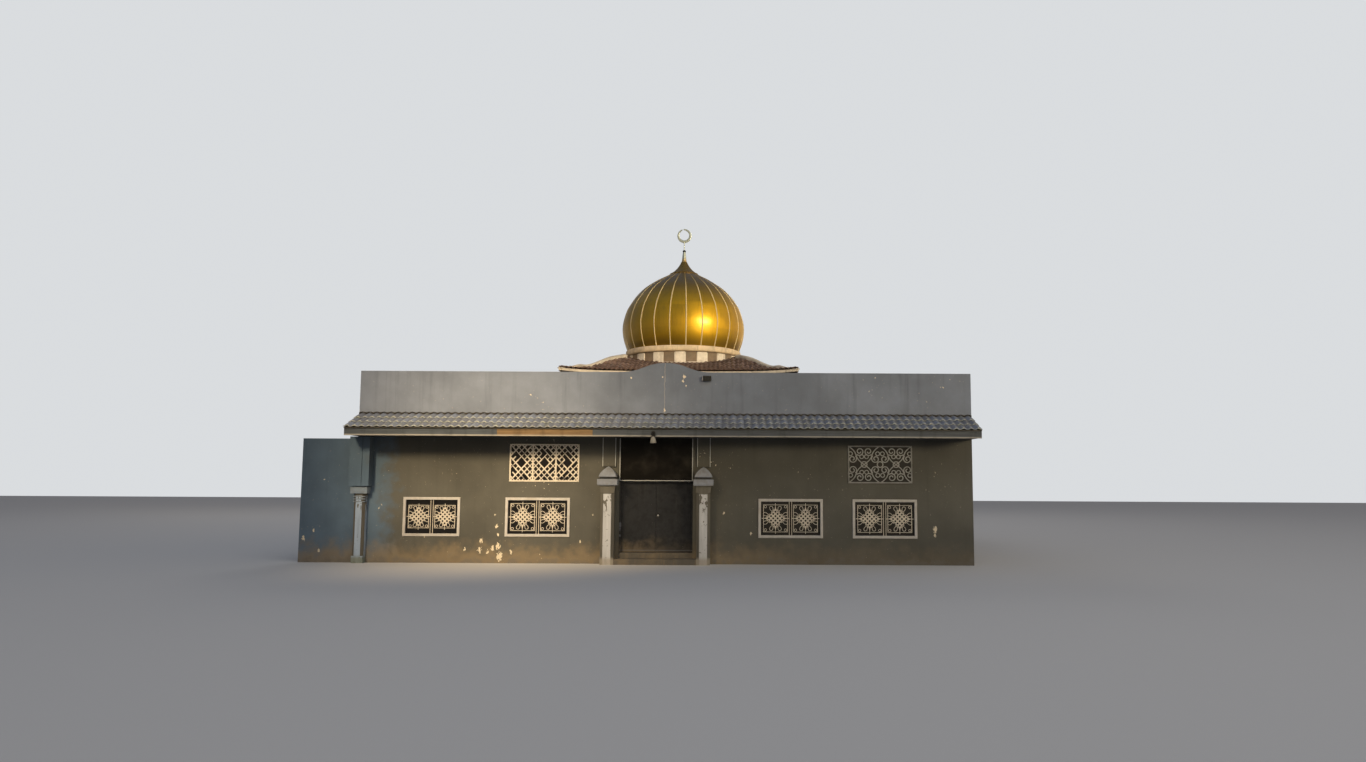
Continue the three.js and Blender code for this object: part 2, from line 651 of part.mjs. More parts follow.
function wallBox() {
  const half = WALL_BOX.width / 2;
  const top = WALL_BOX.bottom + WALL_BOX.height;
  return box(WALL_BOX.x - half, WALL_BOX.x + half, FRONT - WALL_BOX.depth, FRONT, WALL_BOX.bottom, top);
}

// Assembly

const mosque = new THREE.Group();

function add(name, geometry, material, parent = mosque) {
  const mesh = new THREE.Mesh(geometry, material);
  mesh.name = name;
  parent.add(mesh);
  return mesh;
}

add("floor_slab", floorSlab(), paint.concrete);
add("entrance_step", box(STEP.left, STEP.right, FRONT - STEP.depth, FRONT, 0, STEP.height), paint.concrete);
add("front_wall_left", lowerFrontWall(LEFT, DOOR.left, PIER_CENTRES.left), paint.darkGrey);
add("front_wall_right", lowerFrontWall(DOOR.right, RIGHT, PIER_CENTRES.right), paint.darkGrey);
add(
  "front_wall_over_door",
  box(DOOR.left, DOOR.right, FRONT, FRONT + WALL, DOOR.head, LOWER_WALL_TOP),
  paint.darkGrey,
);
add(
  "front_parapet_wall",
  box(LEFT, RIGHT, FRONT, FRONT + WALL, LOWER_WALL_TOP, PARAPET_TOP),
  paint.midGrey,
);
add("parapet_crest", parapetCrest(), paint.midGrey);
add("wing_wall", box(LEFT - WING.width, LEFT, FRONT, FRONT + WING.thickness, 0, WING.height), paint.darkGrey);
add("left_side_wall", sideWall(LEFT, -1), paint.midGrey);
add("right_side_wall", sideWall(RIGHT, 1), paint.midGrey);
add("back_wall", backWall(), paint.midGrey);
add("left_window_sheet", sideSheet(LEFT + WALL, 1), paint.black);
add("right_window_sheet", sideSheet(RIGHT - WALL, -1), paint.black);
add("back_window_sheet", backSheet(), paint.black);
add("flat_roof_slab", roofSlab(), paint.concrete);

for (const piece of FRONT_WINDOWS) {
  add(piece.name, framedScreen(piece, WINDOW.sill, WINDOW.head), paint.white);
}
for (const piece of FRONT_SCREENS) {
  add(piece.name, framedScreen(piece, SCREEN.sill, SCREEN.head), paint.white);
}

for (const [side, centre] of Object.entries(PIER_CENTRES)) {
  add("porch_pier_" + side, porchPier(centre), paint.white);
  add("pier_capital_" + side, pierHead(centre), paint.white);
}
add("corner_pier", cornerPier(), paint.white);
add("corner_pier_capital", cornerPierHead(), paint.white);
add("corner_pier_block", cornerPierBlock(), paint.midGrey);

add("sign_board", signBoard(), paint.black);
add("sign_frame", signFrame(), paint.cement);
add("door_frame", doorFrame(), paint.doorGrey);
add("door_leaf_left", doorLeaf(-1), paint.doorGrey);
add("door_leaf_right", doorLeaf(1), paint.doorGrey);

add("canopy_roof", eaveRoof(), paint.eaveTile);
add("canopy_fascia", fascia(), paint.cement);
add("eave_lamp", lamp(), paint.white);
add("wall_box", wallBox(), paint.black);

const middle = new THREE.Group();
middle.position.x = DOME_X;
mosque.add(middle);

["front", "right", "back", "left"].forEach((side, turn) => {
  const halfLength = turn % 2 === 0 ? LANTERN.half : LANTERN.half - LANTERN.wall;
  const geometry = lanternWall(halfLength).rotateZ((turn * Math.PI) / 2);
  add("lantern_wall_" + side, geometry, paint.midGrey, middle);
});
add("lantern_roof", skirtRoof(), paint.tile, middle);
["front_left", "front_right", "back_right", "back_left"].forEach((corner, side) => {
  add("hip_ridge_" + corner, hipRidge(side), paint.cement, middle);
});
add("drum", drum(), paint.cement, middle);
add("drum_ring", ringWall(RING.outer, RING.inner, DRUM.top, RING.top), paint.cream, middle);
add("dome_shell", domeShell(), paint.gold, middle);
add("finial_mast", mast(), paint.metal, middle);
add("crescent", crescent(), paint.metal, middle);

export default mosque;
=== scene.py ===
# The looks of a small roadside mosque: paint, tiles, screens, dome and fittings round its fixed frame.
# Metres. X runs along the front from left to right, Y from the front to the back, Z is up.

import math
import random

import bmesh
import bpy
from mathutils import Matrix, Vector, noise


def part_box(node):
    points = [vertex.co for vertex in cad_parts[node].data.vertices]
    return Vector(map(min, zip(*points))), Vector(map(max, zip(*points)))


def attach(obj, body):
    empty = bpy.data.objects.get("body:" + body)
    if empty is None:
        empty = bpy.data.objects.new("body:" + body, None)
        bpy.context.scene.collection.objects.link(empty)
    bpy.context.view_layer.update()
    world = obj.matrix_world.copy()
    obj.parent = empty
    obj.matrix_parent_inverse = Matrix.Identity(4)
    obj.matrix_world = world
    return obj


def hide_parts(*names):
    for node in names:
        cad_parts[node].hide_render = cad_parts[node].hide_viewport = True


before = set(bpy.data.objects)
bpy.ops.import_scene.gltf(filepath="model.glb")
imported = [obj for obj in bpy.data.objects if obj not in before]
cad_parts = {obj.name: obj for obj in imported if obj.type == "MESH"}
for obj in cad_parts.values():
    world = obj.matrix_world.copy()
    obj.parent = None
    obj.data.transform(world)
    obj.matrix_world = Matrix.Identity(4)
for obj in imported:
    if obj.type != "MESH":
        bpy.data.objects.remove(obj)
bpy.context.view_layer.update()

# Camera, as the photograph has it
PHOTO_WIDTH = 1366
FOCAL_PIXELS = 985.8
SENSOR_WIDTH = 36.0
CAMERA_PLACE = Vector((1.474, -34.249, 2.135))
CAMERA_PITCH = 5.87
CAMERA_ROLL = 0.30
VANISHING_OFFSET_PIXELS = 38.0

# Places that the frame gives
FRONT_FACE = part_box("front_parapet_wall")[0].y
LEFT_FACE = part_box("front_parapet_wall")[0].x
RIGHT_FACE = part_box("front_parapet_wall")[1].x
BACK_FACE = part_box("back_wall")[1].y
PILASTER_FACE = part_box("front_wall_left")[0].y
JAMB_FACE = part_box("door_frame")[0].y
PAINT_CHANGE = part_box("front_parapet_wall")[0].z
EAVE_LOW, EAVE_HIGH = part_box("canopy_roof")
FASCIA_LOW, FASCIA_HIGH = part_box("canopy_fascia")
ROOF_LOW, ROOF_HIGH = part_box("lantern_roof")
DRUM_LOW, DRUM_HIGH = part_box("drum")
DOME_X = (DRUM_LOW.x + DRUM_HIGH.x) / 2
CENTRE = Vector((DOME_X, 0, 0))
UP = Vector((0, 0, 1))
OUT = Vector((0, -1, 0))

# Roof round the drum
ROOF_HALF = (ROOF_HIGH.x - ROOF_LOW.x) / 2
ROOF_EAVE = 5.576
ROOF_DRUM_TOP = 6.05
ROOF_CURVE = 1.35
ROOF_UPTURN = 0.10
ROOF_LIFT = 0.21
LIFT_RISES = (0.35, 0.85)
LIFT_FALLS = (1.0, 1.28)
HIP_START = 0.2
HIP_ROWS = 56
HIP_HALF_WIDTH = 0.092
HIP_HEIGHT = 0.085
HIP_FOOT_DROP = 0.070
HIP_HUMP = 0.045
HIP_HUMP_PLACE = 0.76
HIP_UNEVENNESS = 0.010
EAVE_BOARD = (0.018, 0.075)
MORTAR_HEIGHT = 0.030
MORTAR_RADIUS = 0.024
MORTAR_LUMPS = (0.016, 0.010)

# Drum and its blocks
DRUM_RADIUS = 1.9
DRUM_WALL = 0.15
BLOCK_PROUD = 0.03
BLOCK_COUNT = 16
BLOCK_PHASE = -0.05
BLOCK_SHARE = 0.50
BLOCK_FOOT = 6.0
BLOCK_TOP = 6.44
BLOCK_CORNER = 0.028
BLOCK_BEVEL = 0.008
BLOCK_COLUMNS = 14
ROOF_JOINT = 0.024
DRUM_STEPS = 144

# Tiles
EAVE_COLUMN = 0.188
EAVE_ROWS = 3
LANTERN_COLUMN = 0.15
LANTERN_ROW = 0.27
ROW_REACH = 1.12
TILE_STEPS = 8
TILE_RIB = 0.034
TILE_THICKNESS = 0.014
TILE_LAP = 0.026
TILE_SEAT = 0.014
TILE_TILT = 0.004
TILE_SLIP = 0.006
EAVE_TIP = 3.485
FASCIA_JOINT = -1.79
BOARD_LENGTH = 2.44
NEWER_BOARD, OLDER_BOARD = 0.15, 0.95

# Dome
DOME_OUTLINE = [
    (1.935, 6.650), (2.077, 7.100), (2.112, 7.540), (2.003, 8.009), (1.860, 8.294), (1.656, 8.579),
    (1.371, 8.865), (0.953, 9.151), (0.619, 9.330), (0.452, 9.439), (0.300, 9.560), (0.196, 9.680),
    (0.126, 9.790), (0.090, 9.870),
]
GORES = 24
GORE_STEPS = 8
GORE_PHASE = math.radians(4.5)
SHEET_JOINTS = [6.65, 7.25, 8.0, 8.66, 9.2, 9.56]
SHEET_BULGE = 0.007
CAP_FOOT = 9.42
CAP_PROUD = 0.014
DOME_SHELL = 0.04
RIB_WIDTH = 0.040
RIB_HEIGHT = 0.014
RIB_FULL_RADIUS = 1.75
ROUND_STEPS = 32

# Heights between which the dome's metal changes: painted dark reflection over its top and its foot, browner
# ribs, and the finial's gilt foot
DOME_TOP_DARK_REFLECTION = (8.0, 9.1)
DOME_FOOT_DARK_REFLECTION = (7.1, 6.7)
RIB_BROWNS = (8.5, 9.3)
FINIAL_GILT = (10.06, 9.90)

# Piers, and the thin beads of render at corners
PANEL_HALF = 0.104
PANEL_TOP = 1.82
CORNER_PANEL_HALF = 0.16
CORNER_PANEL_TOP = 1.74
FLAKED_ABOVE = 1.25
PILASTER_HALF = 0.1765
GROOVE_FOOT = 2.205
GROOVE_TOP = 2.265
PIER_RING_FEET = (1.575, 1.640, 1.705)
EDGE_PROUD = 0.004
EDGE_SUNK = 0.010
EDGE_BEVEL = 0.002

# Door
LEAF_FACE = -7.95
KICK_LINE = 0.345
LOCK_FROM_EDGE = 0.05
LOCK_MIDDLE = 1.258
LOCK_PLATE = (0.036, 0.076)
KNOB_RADIUS = 0.0255

# Windows and their screens
STAR_CELLS = 4
STAR_PITCH = 0.058
STAR_HOLE = 0.0275
STAR_LOOP = 0.017
LACE_BAR = 0.012
LEAF_BREADTH = 0.082
CORNER_RING = 0.032
HEAVY_BAR = 0.031
LIGHT_BAR = 0.020
LEFT_OUT = 0.16
SCROLL_BAR = 0.026
SCROLL_RADIUS = 0.112
SCROLL_TURNS = 1.35
SCROLL_RING = 0.052
JOINT_RING = 0.075
HOLE_CLEARANCE = 0.002
BORDER = 0.071
BORDER_LAP = 0.06
BORDER_DEPTH = 0.025
SCREEN_SETBACK = 0.03
SCREEN_BEVEL = 0.006
BAR_DEPTH = 0.012
WINDOW_SIZE = (1.70, 1.02)
WINDOW_MIDDLE = 1.20
SCREEN_SIZE = (1.70, 0.99)
SCREEN_MIDDLE = 2.625
SIDE_WINDOW_PLACES = [-5.4, -1.8, 1.8, 5.4]
SIDE_SCREEN_PLACES = [-1.8, 1.8]
BACK_WINDOW_PLACES = [-6.0, -3.3, 3.3, 6.0]
BACK_SCREEN_PLACES = [-3.3, 3.3]

# Marks in the paint: how far along, how high and how large
CRACK_PLACE = -0.02
PEELED_PLACES = [
    (-4.45, 1.26, 0.028), (-4.40, 0.96, 0.034), (-4.36, 0.74, 0.026), (-4.35, 0.44, 0.060),
    (-4.49, 0.40, 0.040), (-4.79, 0.58, 0.042), (-4.83, 0.35, 0.050), (-4.62, 0.28, 0.036),
    (-4.30, 0.17, 0.078), (-4.01, 0.30, 0.036), (-5.22, 0.36, 0.028), (-7.50, 1.42, 0.024),
    (-2.20, 0.57, 0.022), (-1.88, 1.27, 0.018), (-9.46, 0.62, 0.046), (-9.20, 0.82, 0.024),
    (-9.05, 0.30, 0.032), (1.57, 1.33, 0.026), (7.12, 0.93, 0.056), (7.11, 0.78, 0.034),
    (2.28, 0.80, 0.022), (0.50, 4.93, 0.032), (0.46, 4.82, 0.028), (0.55, 4.70, 0.016),
    (-0.92, 4.90, 0.022), (-0.08, 4.92, 0.020), (-0.02, 4.03, 0.026),
]
DOOR_FLAKES = [(-1.165, 1.01, 0.050), (-1.175, 0.90, 0.030), (-1.165, 0.72, 0.028)]

# Stage and light round the part
STAGE_HALF = 90.0
BACKDROP = (0.70, 0.72, 0.74)
SKY_STOPS = [
    (0.00, (0.95, 0.74, 0.46)),
    (0.22, (0.50, 0.44, 0.36)),
    (0.50, (0.22, 0.24, 0.29)),
    (1.00, (0.17, 0.22, 0.32)),
]
SKY_LEAN = (-0.28, 0.0, 1.0)
SKY_STRENGTH = 0.82

LINEAR = {
    "lower_wall": (0.088, 0.086, 0.073),
    # Blue-grey of the wing: the wall's dark paint tinted blue as painted shade
    "upper_wall": (0.142, 0.162, 0.202),
    "wing_wall": (0.096, 0.140, 0.190),
    "splash": (0.230, 0.175, 0.105),
    "bare_plaster": (0.62, 0.54, 0.40),
    "white": (0.42, 0.405, 0.385),
    "pier_white": (0.435, 0.445, 0.46),
    # The corner pier's pale panel, tinted blue as painted shade
    "shaded_blue_white": (0.31, 0.385, 0.49),
    "cap": (0.192, 0.208, 0.240),
    # The corner capital's cement, tinted blue as painted shade
    "shaded_corner_cap": (0.190, 0.235, 0.285),
    "white_dirt": (0.30, 0.27, 0.22),
    "pier_facet": (0.112, 0.105, 0.088),
    "cement": (0.42, 0.39, 0.34),
    "cement_dark": (0.13, 0.12, 0.10),
    "hip": (0.47, 0.42, 0.35),
    # Near-black: painted shadow where the eave tiles meet the wall
    "bead": (0.60, 0.52, 0.44),
    "mortar_shadow": (0.045, 0.040, 0.034),
    "roof_tile": (0.185, 0.118, 0.088),
    "roof_tile_dark": (0.075, 0.050, 0.042),
    "roof_tile_lip": (0.10, 0.055, 0.04),
    "eave_tile": (0.170, 0.196, 0.256),
    "eave_tile_dark": (0.120, 0.124, 0.138),
    "moss": (0.150, 0.160, 0.090),
    "lichen": (0.42, 0.43, 0.36),
    "ring": (0.72, 0.565, 0.37),
    "drum_white": (0.73, 0.655, 0.545),
    "drum_grey": (0.220, 0.160, 0.105),
    "gold": (0.69, 0.405, 0.010),
    "gold_dark": (0.21, 0.130, 0.018),
    "cap_gold": (0.36, 0.225, 0.060),
    "rib": (0.70, 0.55, 0.27),
    "finial": (0.50, 0.55, 0.48),
    "finial_foot": (0.50, 0.36, 0.16),
    "dark_metal": (0.03, 0.03, 0.028),
    "screen": (0.54, 0.49, 0.405),
    # The screens' cream paint darkened to grey as painted shade, for the upper right screen
    "scroll": (0.27, 0.27, 0.26),
    "edge": (0.31, 0.32, 0.315),
    "lock": (0.55, 0.55, 0.54),
    "lamp": (0.19, 0.185, 0.165),
    # The door's grey, taken far darker than the wall's paint as painted shade of the recess
    "door": (0.0160, 0.0165, 0.0175),
    "board": (0.0065, 0.0058, 0.0048),
    "fascia": (0.055, 0.067, 0.080),
    "fascia_brown": (0.165, 0.104, 0.046),
    "concrete": (0.23, 0.215, 0.185),
    # Floor slab and step, taken dark as painted shade at the foot of the porch
    "floor": (0.090, 0.082, 0.068),
    # Underside of the eave, dark as painted shade; it shows as the dark band in the gaps under the tile ends
    "soffit": (0.050, 0.046, 0.040),
    # Near-black painted shade for the screens' backings and the window sheets, also the colour of the flat
    # roof's cracks
    "window_dark": (0.006, 0.0055, 0.005),
    "stage": (0.60, 0.58, 0.55),
}


# Materials

def feed(tree, socket, value):
    """Links another node's output to the socket, or gives the socket a plain value."""
    if isinstance(value, bpy.types.NodeSocket):
        tree.links.new(value, socket)
    elif isinstance(value, tuple) and len(value) == 3 and len(socket.default_value) == 4:
        socket.default_value = (*value, 1.0)
    else:
        socket.default_value = value


def add_node(tree, kind, inputs=None, **settings):
    """A new node with these settings and these inputs, which are named or numbered."""
    node = tree.nodes.new("ShaderNode" + kind)
    for key, value in settings.items():
        setattr(node, key, value)
    for key, value in (inputs or {}).items():
        feed(tree, node.inputs[key], value)
    return node


class Paint:
    """A procedural material, with short calls for what it is made of."""

    def __init__(self, name, roughness, metallic=0.0):
        self.material = bpy.data.materials.new(name)
        self.material.use_nodes = True
        self.tree = self.material.node_tree
        self.shader = self.tree.nodes["Principled BSDF"]
        self.give("Roughness", roughness)
        self.give("Metallic", metallic)
        self.place = self.node("TexCoord").outputs["Object"]

    def give(self, name, value):
        """Feeds one of the shader's own inputs."""
        feed(self.tree, self.shader.inputs[name], value)

    def node(self, kind, inputs=None, **settings):
        return add_node(self.tree, kind, inputs, **settings)

    def stretched(self, x, y, z):
        return self.node("Mapping", {"Vector": self.place, "Scale": (x, y, z)}).outputs["Vector"]

    def noise(self, scale, detail, vector=None):
        inputs = {"Vector": vector or self.place, "Scale": scale, "Detail": detail, "Roughness": 0.55}
        return self.node("TexNoise", inputs).outputs["Fac"]

    def cracks(self, scale):
        inputs = {"Vector": self.place, "Scale": scale}
        return self.node("TexVoronoi", inputs, feature="DISTANCE_TO_EDGE").outputs["Distance"]

    def axis(self, index, vector=None):
        return self.node("SeparateXYZ", {0: vector or self.place}).outputs[index]

    def attribute(self, name):
        return self.node("Attribute", attribute_name=name).outputs["Fac"]

    def math(self, operation, first, second=0.0):
        return self.node("Math", {0: first, 1: second}, operation=operation).outputs[0]

    def times(self, first, *factors):
        for factor in factors:
            first = self.math("MULTIPLY", first, factor)
        return first

    def most(self, first, *others):
        """The largest of several values."""
        for other in others:
            first = self.math("MAXIMUM", first, other)
        return first

    def apart(self, value, middle):
        """How far a value lies from a middle one, to either side."""
        return self.math("ABSOLUTE", self.math("SUBTRACT", value, middle))

    def ramp(self, value, low, high, start=0.0, end=1.0):
        """Turns a value between low and high smoothly into one between start and end."""
        names = ("Value", "From Min", "From Max", "To Min", "To Max")
        inputs = dict(zip(names, (value, low, high, start, end)))
        return self.node("MapRange", inputs, interpolation_type="SMOOTHSTEP").outputs[0]

    def patches(self, scale, detail, low, high, start=0.0, end=1.0, vector=None):
        """Noise with so many patches to the metre, turned smoothly into values between start and end."""
        return self.ramp(self.noise(scale, detail, vector), low, high, start, end)

    def streaks(self, across, down, detail, low, high, start=0.0, end=1.0):
        """Patches drawn out downwards, so many to the metre across and down."""
        return self.patches(1.0, detail, low, high, start, end, self.stretched(across, across, down))

    def ragged(self, value, scale, detail, low, high, start, end):
        """A value that noise pushes up and down, for an edge that isn't straight."""
        return self.math("ADD", value, self.patches(scale, detail, low, high, start, end))

    def mix(self, amount, first, second):
        """A blend of two colours, which are the node's inputs 6 and 7 and its output 2."""
        return self.node("Mix", {0: amount, 6: first, 7: second}, data_type="RGBA").outputs[2]

    def scaled(self, colour, factor):
        """A colour made lighter or darker by a factor that may change over the surface."""
        return self.node("VectorMath", {0: colour, "Scale": factor}, operation="SCALE").outputs[0]

    def darkened(self, amount, colour, factor):
        """A colour taken some way towards a darker shade of itself."""
        return self.mix(amount, colour, self.scaled(colour, factor))

    def spots(self, places, y):
        """A mask of ragged flakes, taller than broad, each given by its X, its Z and its radius."""
        tall = 0.6
        vector = self.stretched(1.0, 1.0, tall)
        nearness = 0.0
        for x, z, radius in places:
            inputs = {0: vector, 1: (x, y, z * tall)}
            distance = self.node("VectorMath", inputs, operation="DISTANCE").outputs["Value"]
            nearness = self.most(nearness, self.ramp(distance, 2.3 * radius, 0.0, 0.0, 0.46))
        return self.ramp(self.math("ADD", nearness, self.noise(33.0, 5.0, vector)), 0.80, 0.83)

    def bump(self, height, distance, strength):
        inputs = {"Height": height, "Distance": distance, "Strength": strength}
        earlier = self.shader.inputs["Normal"].links
        if earlier:
            inputs["Normal"] = earlier[0].from_socket
        self.give("Normal", self.node("Bump", inputs).outputs[0])

    def grain(self, scale, detail, distance, strength):
        """Fine relief all over."""
        self.bump(self.noise(scale, detail), distance, strength)


def wall_paint():
    """Grey exterior paint, dark up to the eave and lighter above it, with dirt and peeled places, painted
    blue shade at the left end of the front and painted shade under the eave.
    """
    paint = Paint("wall_paint", 0.88)
    x, y, height = (paint.axis(index) for index in range(3))
    fine = paint.noise(3.5, 6.0)
    above = paint.ramp(height, PAINT_CHANGE - 0.004, PAINT_CHANGE + 0.004)
    front = paint.ramp(y, FRONT_FACE + 0.5, FRONT_FACE + 0.15)
    # Painted shade: the wing and the left end of the front turn blue-grey
    ragged_side = paint.math("ADD", x, paint.ramp(fine, 0.2, 0.8, -0.3, 0.3))
    shaded_side = paint.times(paint.ramp(ragged_side, LEFT_FACE + 1.25, LEFT_FACE + 0.35), front)
    lower = paint.mix(shaded_side, LINEAR["lower_wall"], LINEAR["wing_wall"])
    colour = paint.mix(above, lower, LINEAR["upper_wall"])
    broad = paint.patches(0.55, 5.0, 0.3, 0.7, 0.84, 1.14)
    colour = paint.scaled(colour, paint.times(broad, paint.ramp(fine, 0.25, 0.75, 0.93, 1.06)))

    # Painted shade under the eave: the lower wall darkens towards its top
    below = paint.ramp(height, PAINT_CHANGE, PAINT_CHANGE - 0.01)
    eave_shade = paint.times(below, paint.ramp(height, 1.4, 3.4, 0.0, 0.55))
    colour = paint.darkened(eave_shade, colour, 0.30)
    streak = paint.times(paint.streaks(7.0, 0.32, 5.0, 0.52, 0.78), paint.ramp(height, 3.4, 5.1, 0.25, 0.75))
    colour = paint.darkened(streak, colour, 0.66)

    splash_edge = paint.math("ADD", height, paint.ramp(fine, 0.2, 0.8, -0.20, 0.20))
    splash = paint.times(paint.ramp(splash_edge, 0.68, 0.02, 0.0, 0.75), paint.ramp(x, 0.5, 5.0, 1.0, 0.35))
    colour = paint.mix(splash, colour, LINEAR["splash"])
    colour = paint.mix(paint.ramp(splash_edge, 0.16, -0.02, 0.0, 0.7), colour, LINEAR["cement_dark"])

    flakes = paint.times(paint.patches(0.9, 2.0, 0.56, 0.68), paint.patches(11.0, 5.0, 0.665, 0.690))
    specks = paint.patches(34.0, 2.0, 0.750, 0.765, 0.0, 0.6)
    peeled = paint.most(flakes, specks, paint.spots(PEELED_PLACES, FRONT_FACE))
    colour = paint.mix(peeled, colour, LINEAR["bare_plaster"])
    from_crack = paint.apart(paint.ragged(x, 6.0, 3.0, 0.2, 0.8, -0.02, 0.02), CRACK_PLACE)
    crack = paint.times(paint.ramp(from_crack, 0.012, 0.005, 0.0, 0.22), above, front)
    paint.give("Base Color", paint.mix(crack, colour, LINEAR["bare_plaster"]))

    paint.give("Roughness", paint.ramp(fine, 0.3, 0.7, 0.80, 0.94))
    paint.grain(90.0, 3.0, 0.0025, 0.5)
    paint.grain(7.0, 4.0, 0.012, 0.35)
    paint.bump(paint.times(peeled, -1.0), 0.003, 0.9)
    return paint.material


def weathered(name, clean, dirty, roughness=0.85, scale=2.2, amount=0.55, grain=70.0, depth=0.0025):
    """Painted plaster or cement with blotches, rain streaks and fine grain."""
    paint = Paint(name, roughness)
    blotch = paint.patches(scale, 6.0, 0.45, 0.72, 0.0, amount)
    streak = paint.streaks(14.0, 0.8, 4.0, 0.50, 0.80, 0.0, amount)
    dirt = paint.most(blotch, streak, paint.patches(45.0, 3.0, 0.64, 0.72, 0.0, amount))
    colour = paint.mix(dirt, LINEAR[clean], LINEAR[dirty])
    paint.give("Base Color", paint.scaled(colour, paint.patches(9.0, 4.0, 0.25, 0.75, 0.90, 1.08)))
    paint.give("Roughness", paint.ramp(dirt, 0.0, 1.0, roughness - 0.08, min(0.97, roughness + 0.07)))
    paint.grain(grain, 4.0, depth, 0.5)
    paint.bump(dirt, 0.0015, -0.4)
    return paint.material


def pier_paint(name, panel, panel_half, panel_top, foot):
    """A pale panel up the pier's front and grey on its sides and neck, flaked near the top."""
    paint = Paint(name, 0.82)
    height = paint.axis(2)
    facing = paint.node("NewGeometry").outputs["Normal"]
    squareness = paint.most(*(paint.math("ABSOLUTE", paint.axis(index, facing)) for index in (0, 1)))
    aside = 1.0
    for node in ("porch_pier_left", "porch_pier_right", "corner_pier"):
        aside = paint.math("MINIMUM", aside, paint.apart(paint.axis(0), middle_x(node)))
    white = paint.times(
        paint.ramp(squareness, 0.80, 0.90),
        paint.ramp(height, panel_top + 0.01, panel_top - 0.01),
        paint.ramp(aside, panel_half + 0.004, panel_half - 0.004),
    )
    colour = paint.mix(white, LINEAR["pier_facet"], LINEAR[panel])
    marks = paint.patches(13.0, 4.0, 0.53, 0.58, vector=paint.stretched(1.0, 1.0, 0.55))
    marks = paint.times(paint.ramp(height, FLAKED_ABOVE, FLAKED_ABOVE + 0.25), marks)
    worn = paint.most(marks, paint.patches(17.0, 5.0, 0.63, 0.67, 0.0, 0.8))
    colour = paint.mix(worn, colour, LINEAR["pier_facet"])
    colour = paint.mix(paint.ramp(height, 0.24, 0.10, 0.0, 0.75), colour, LINEAR[foot])
    paint.give("Base Color", paint.scaled(colour, paint.streaks(10.0, 1.2, 5.0, 0.3, 0.75, 1.05, 0.80)))
    paint.grain(80.0, 3.0, 0.002, 0.5)
    paint.bump(worn, 0.002, -0.7)
    return paint.material


def tile_clay(name, growth, lip, growth_amount):
    """Weathered roof tiles, each with its own tone, darker in the troughs with dirt and painted shade, with
    painted shadow under the lap of the row above, and marked along the lower lip.
    """
    paint = Paint(name, 0.80)
    dirty = LINEAR[name + "_dark"]
    tone, crest, descent = (paint.attribute(value) for value in ("tone", "crest", "descent"))
    colour = paint.mix(paint.ramp(tone, 0.0, 1.0, 0.0, 0.65), LINEAR[name], dirty)
    colour = paint.mix(paint.patches(1.6, 6.0, 0.42, 0.70, 0.0, 0.55), colour, paint.scaled(dirty, 1.25))
    colour = paint.mix(paint.patches(6.5, 6.0, 0.52, 0.68, 0.0, growth_amount), colour, LINEAR[growth])
    lip_edge = paint.ramp(paint.ragged(descent, 17.0, 4.0, 0.3, 0.7, -0.12, 0.08), 0.84, 0.97)
    marked = paint.times(lip_edge, paint.ramp(crest, 0.1, 0.6, 0.25, 0.75))
    colour = paint.mix(marked, colour, LINEAR[lip])
    # Dirt and painted shade in the troughs, and painted shadow at the upper end under the lap of the row
    # above
    trough = paint.ramp(crest, 0.30, 0.0, 0.0, 0.26)
    lap_shadow = paint.ramp(descent, 0.26, 0.10, 0.0, 0.50)
    colour = paint.mix(paint.most(trough, lap_shadow), colour, paint.scaled(dirty, 0.35))
    paint.give("Base Color", paint.scaled(colour, paint.patches(38.0, 3.0, 0.3, 0.7, 0.82, 1.16)))
    paint.give("Roughness", paint.ramp(tone, 0.0, 1.0, 0.62, 0.86))
    paint.grain(55.0, 4.0, 0.003, 0.5)
    return paint.material


def cap_cement():
    """Pale cement on the piers' capitals, stained, blue-grey as painted shade at the corner pier, with a
    near-black painted shadow in the groove under the porch piers' domed tops.
    """
    paint = Paint("cap_cement", 0.88)
    height = paint.axis(2)
    # Painted shade: the corner pier's capital turns blue-grey
    corner_shade = paint.ramp(paint.axis(0), LEFT_FACE + 0.7, LEFT_FACE + 0.5)
    clean = paint.mix(corner_shade, LINEAR["cap"], LINEAR["shaded_corner_cap"])
    blotch = paint.patches(6.0, 6.0, 0.45, 0.72, 0.0, 0.5)
    streak = paint.streaks(14.0, 0.8, 4.0, 0.50, 0.80, 0.0, 0.4)
    colour = paint.mix(paint.most(blotch, streak), clean, LINEAR["cement_dark"])
    # Painted shadow: a near-black line in the groove under the domed top
    groove = paint.times(
        paint.ramp(height, GROOVE_FOOT - 0.002, GROOVE_FOOT + 0.004),
        paint.ramp(height, GROOVE_TOP + 0.004, GROOVE_TOP - 0.004),
        0.85,
    )
    colour = paint.mix(groove, colour, LINEAR["board"])
    paint.give("Base Color", paint.scaled(colour, paint.patches(9.0, 4.0, 0.25, 0.75, 0.90, 1.08)))
    paint.grain(55.0, 4.0, 0.004, 0.5)
    paint.bump(groove, 0.006, -0.6)
    return paint.material


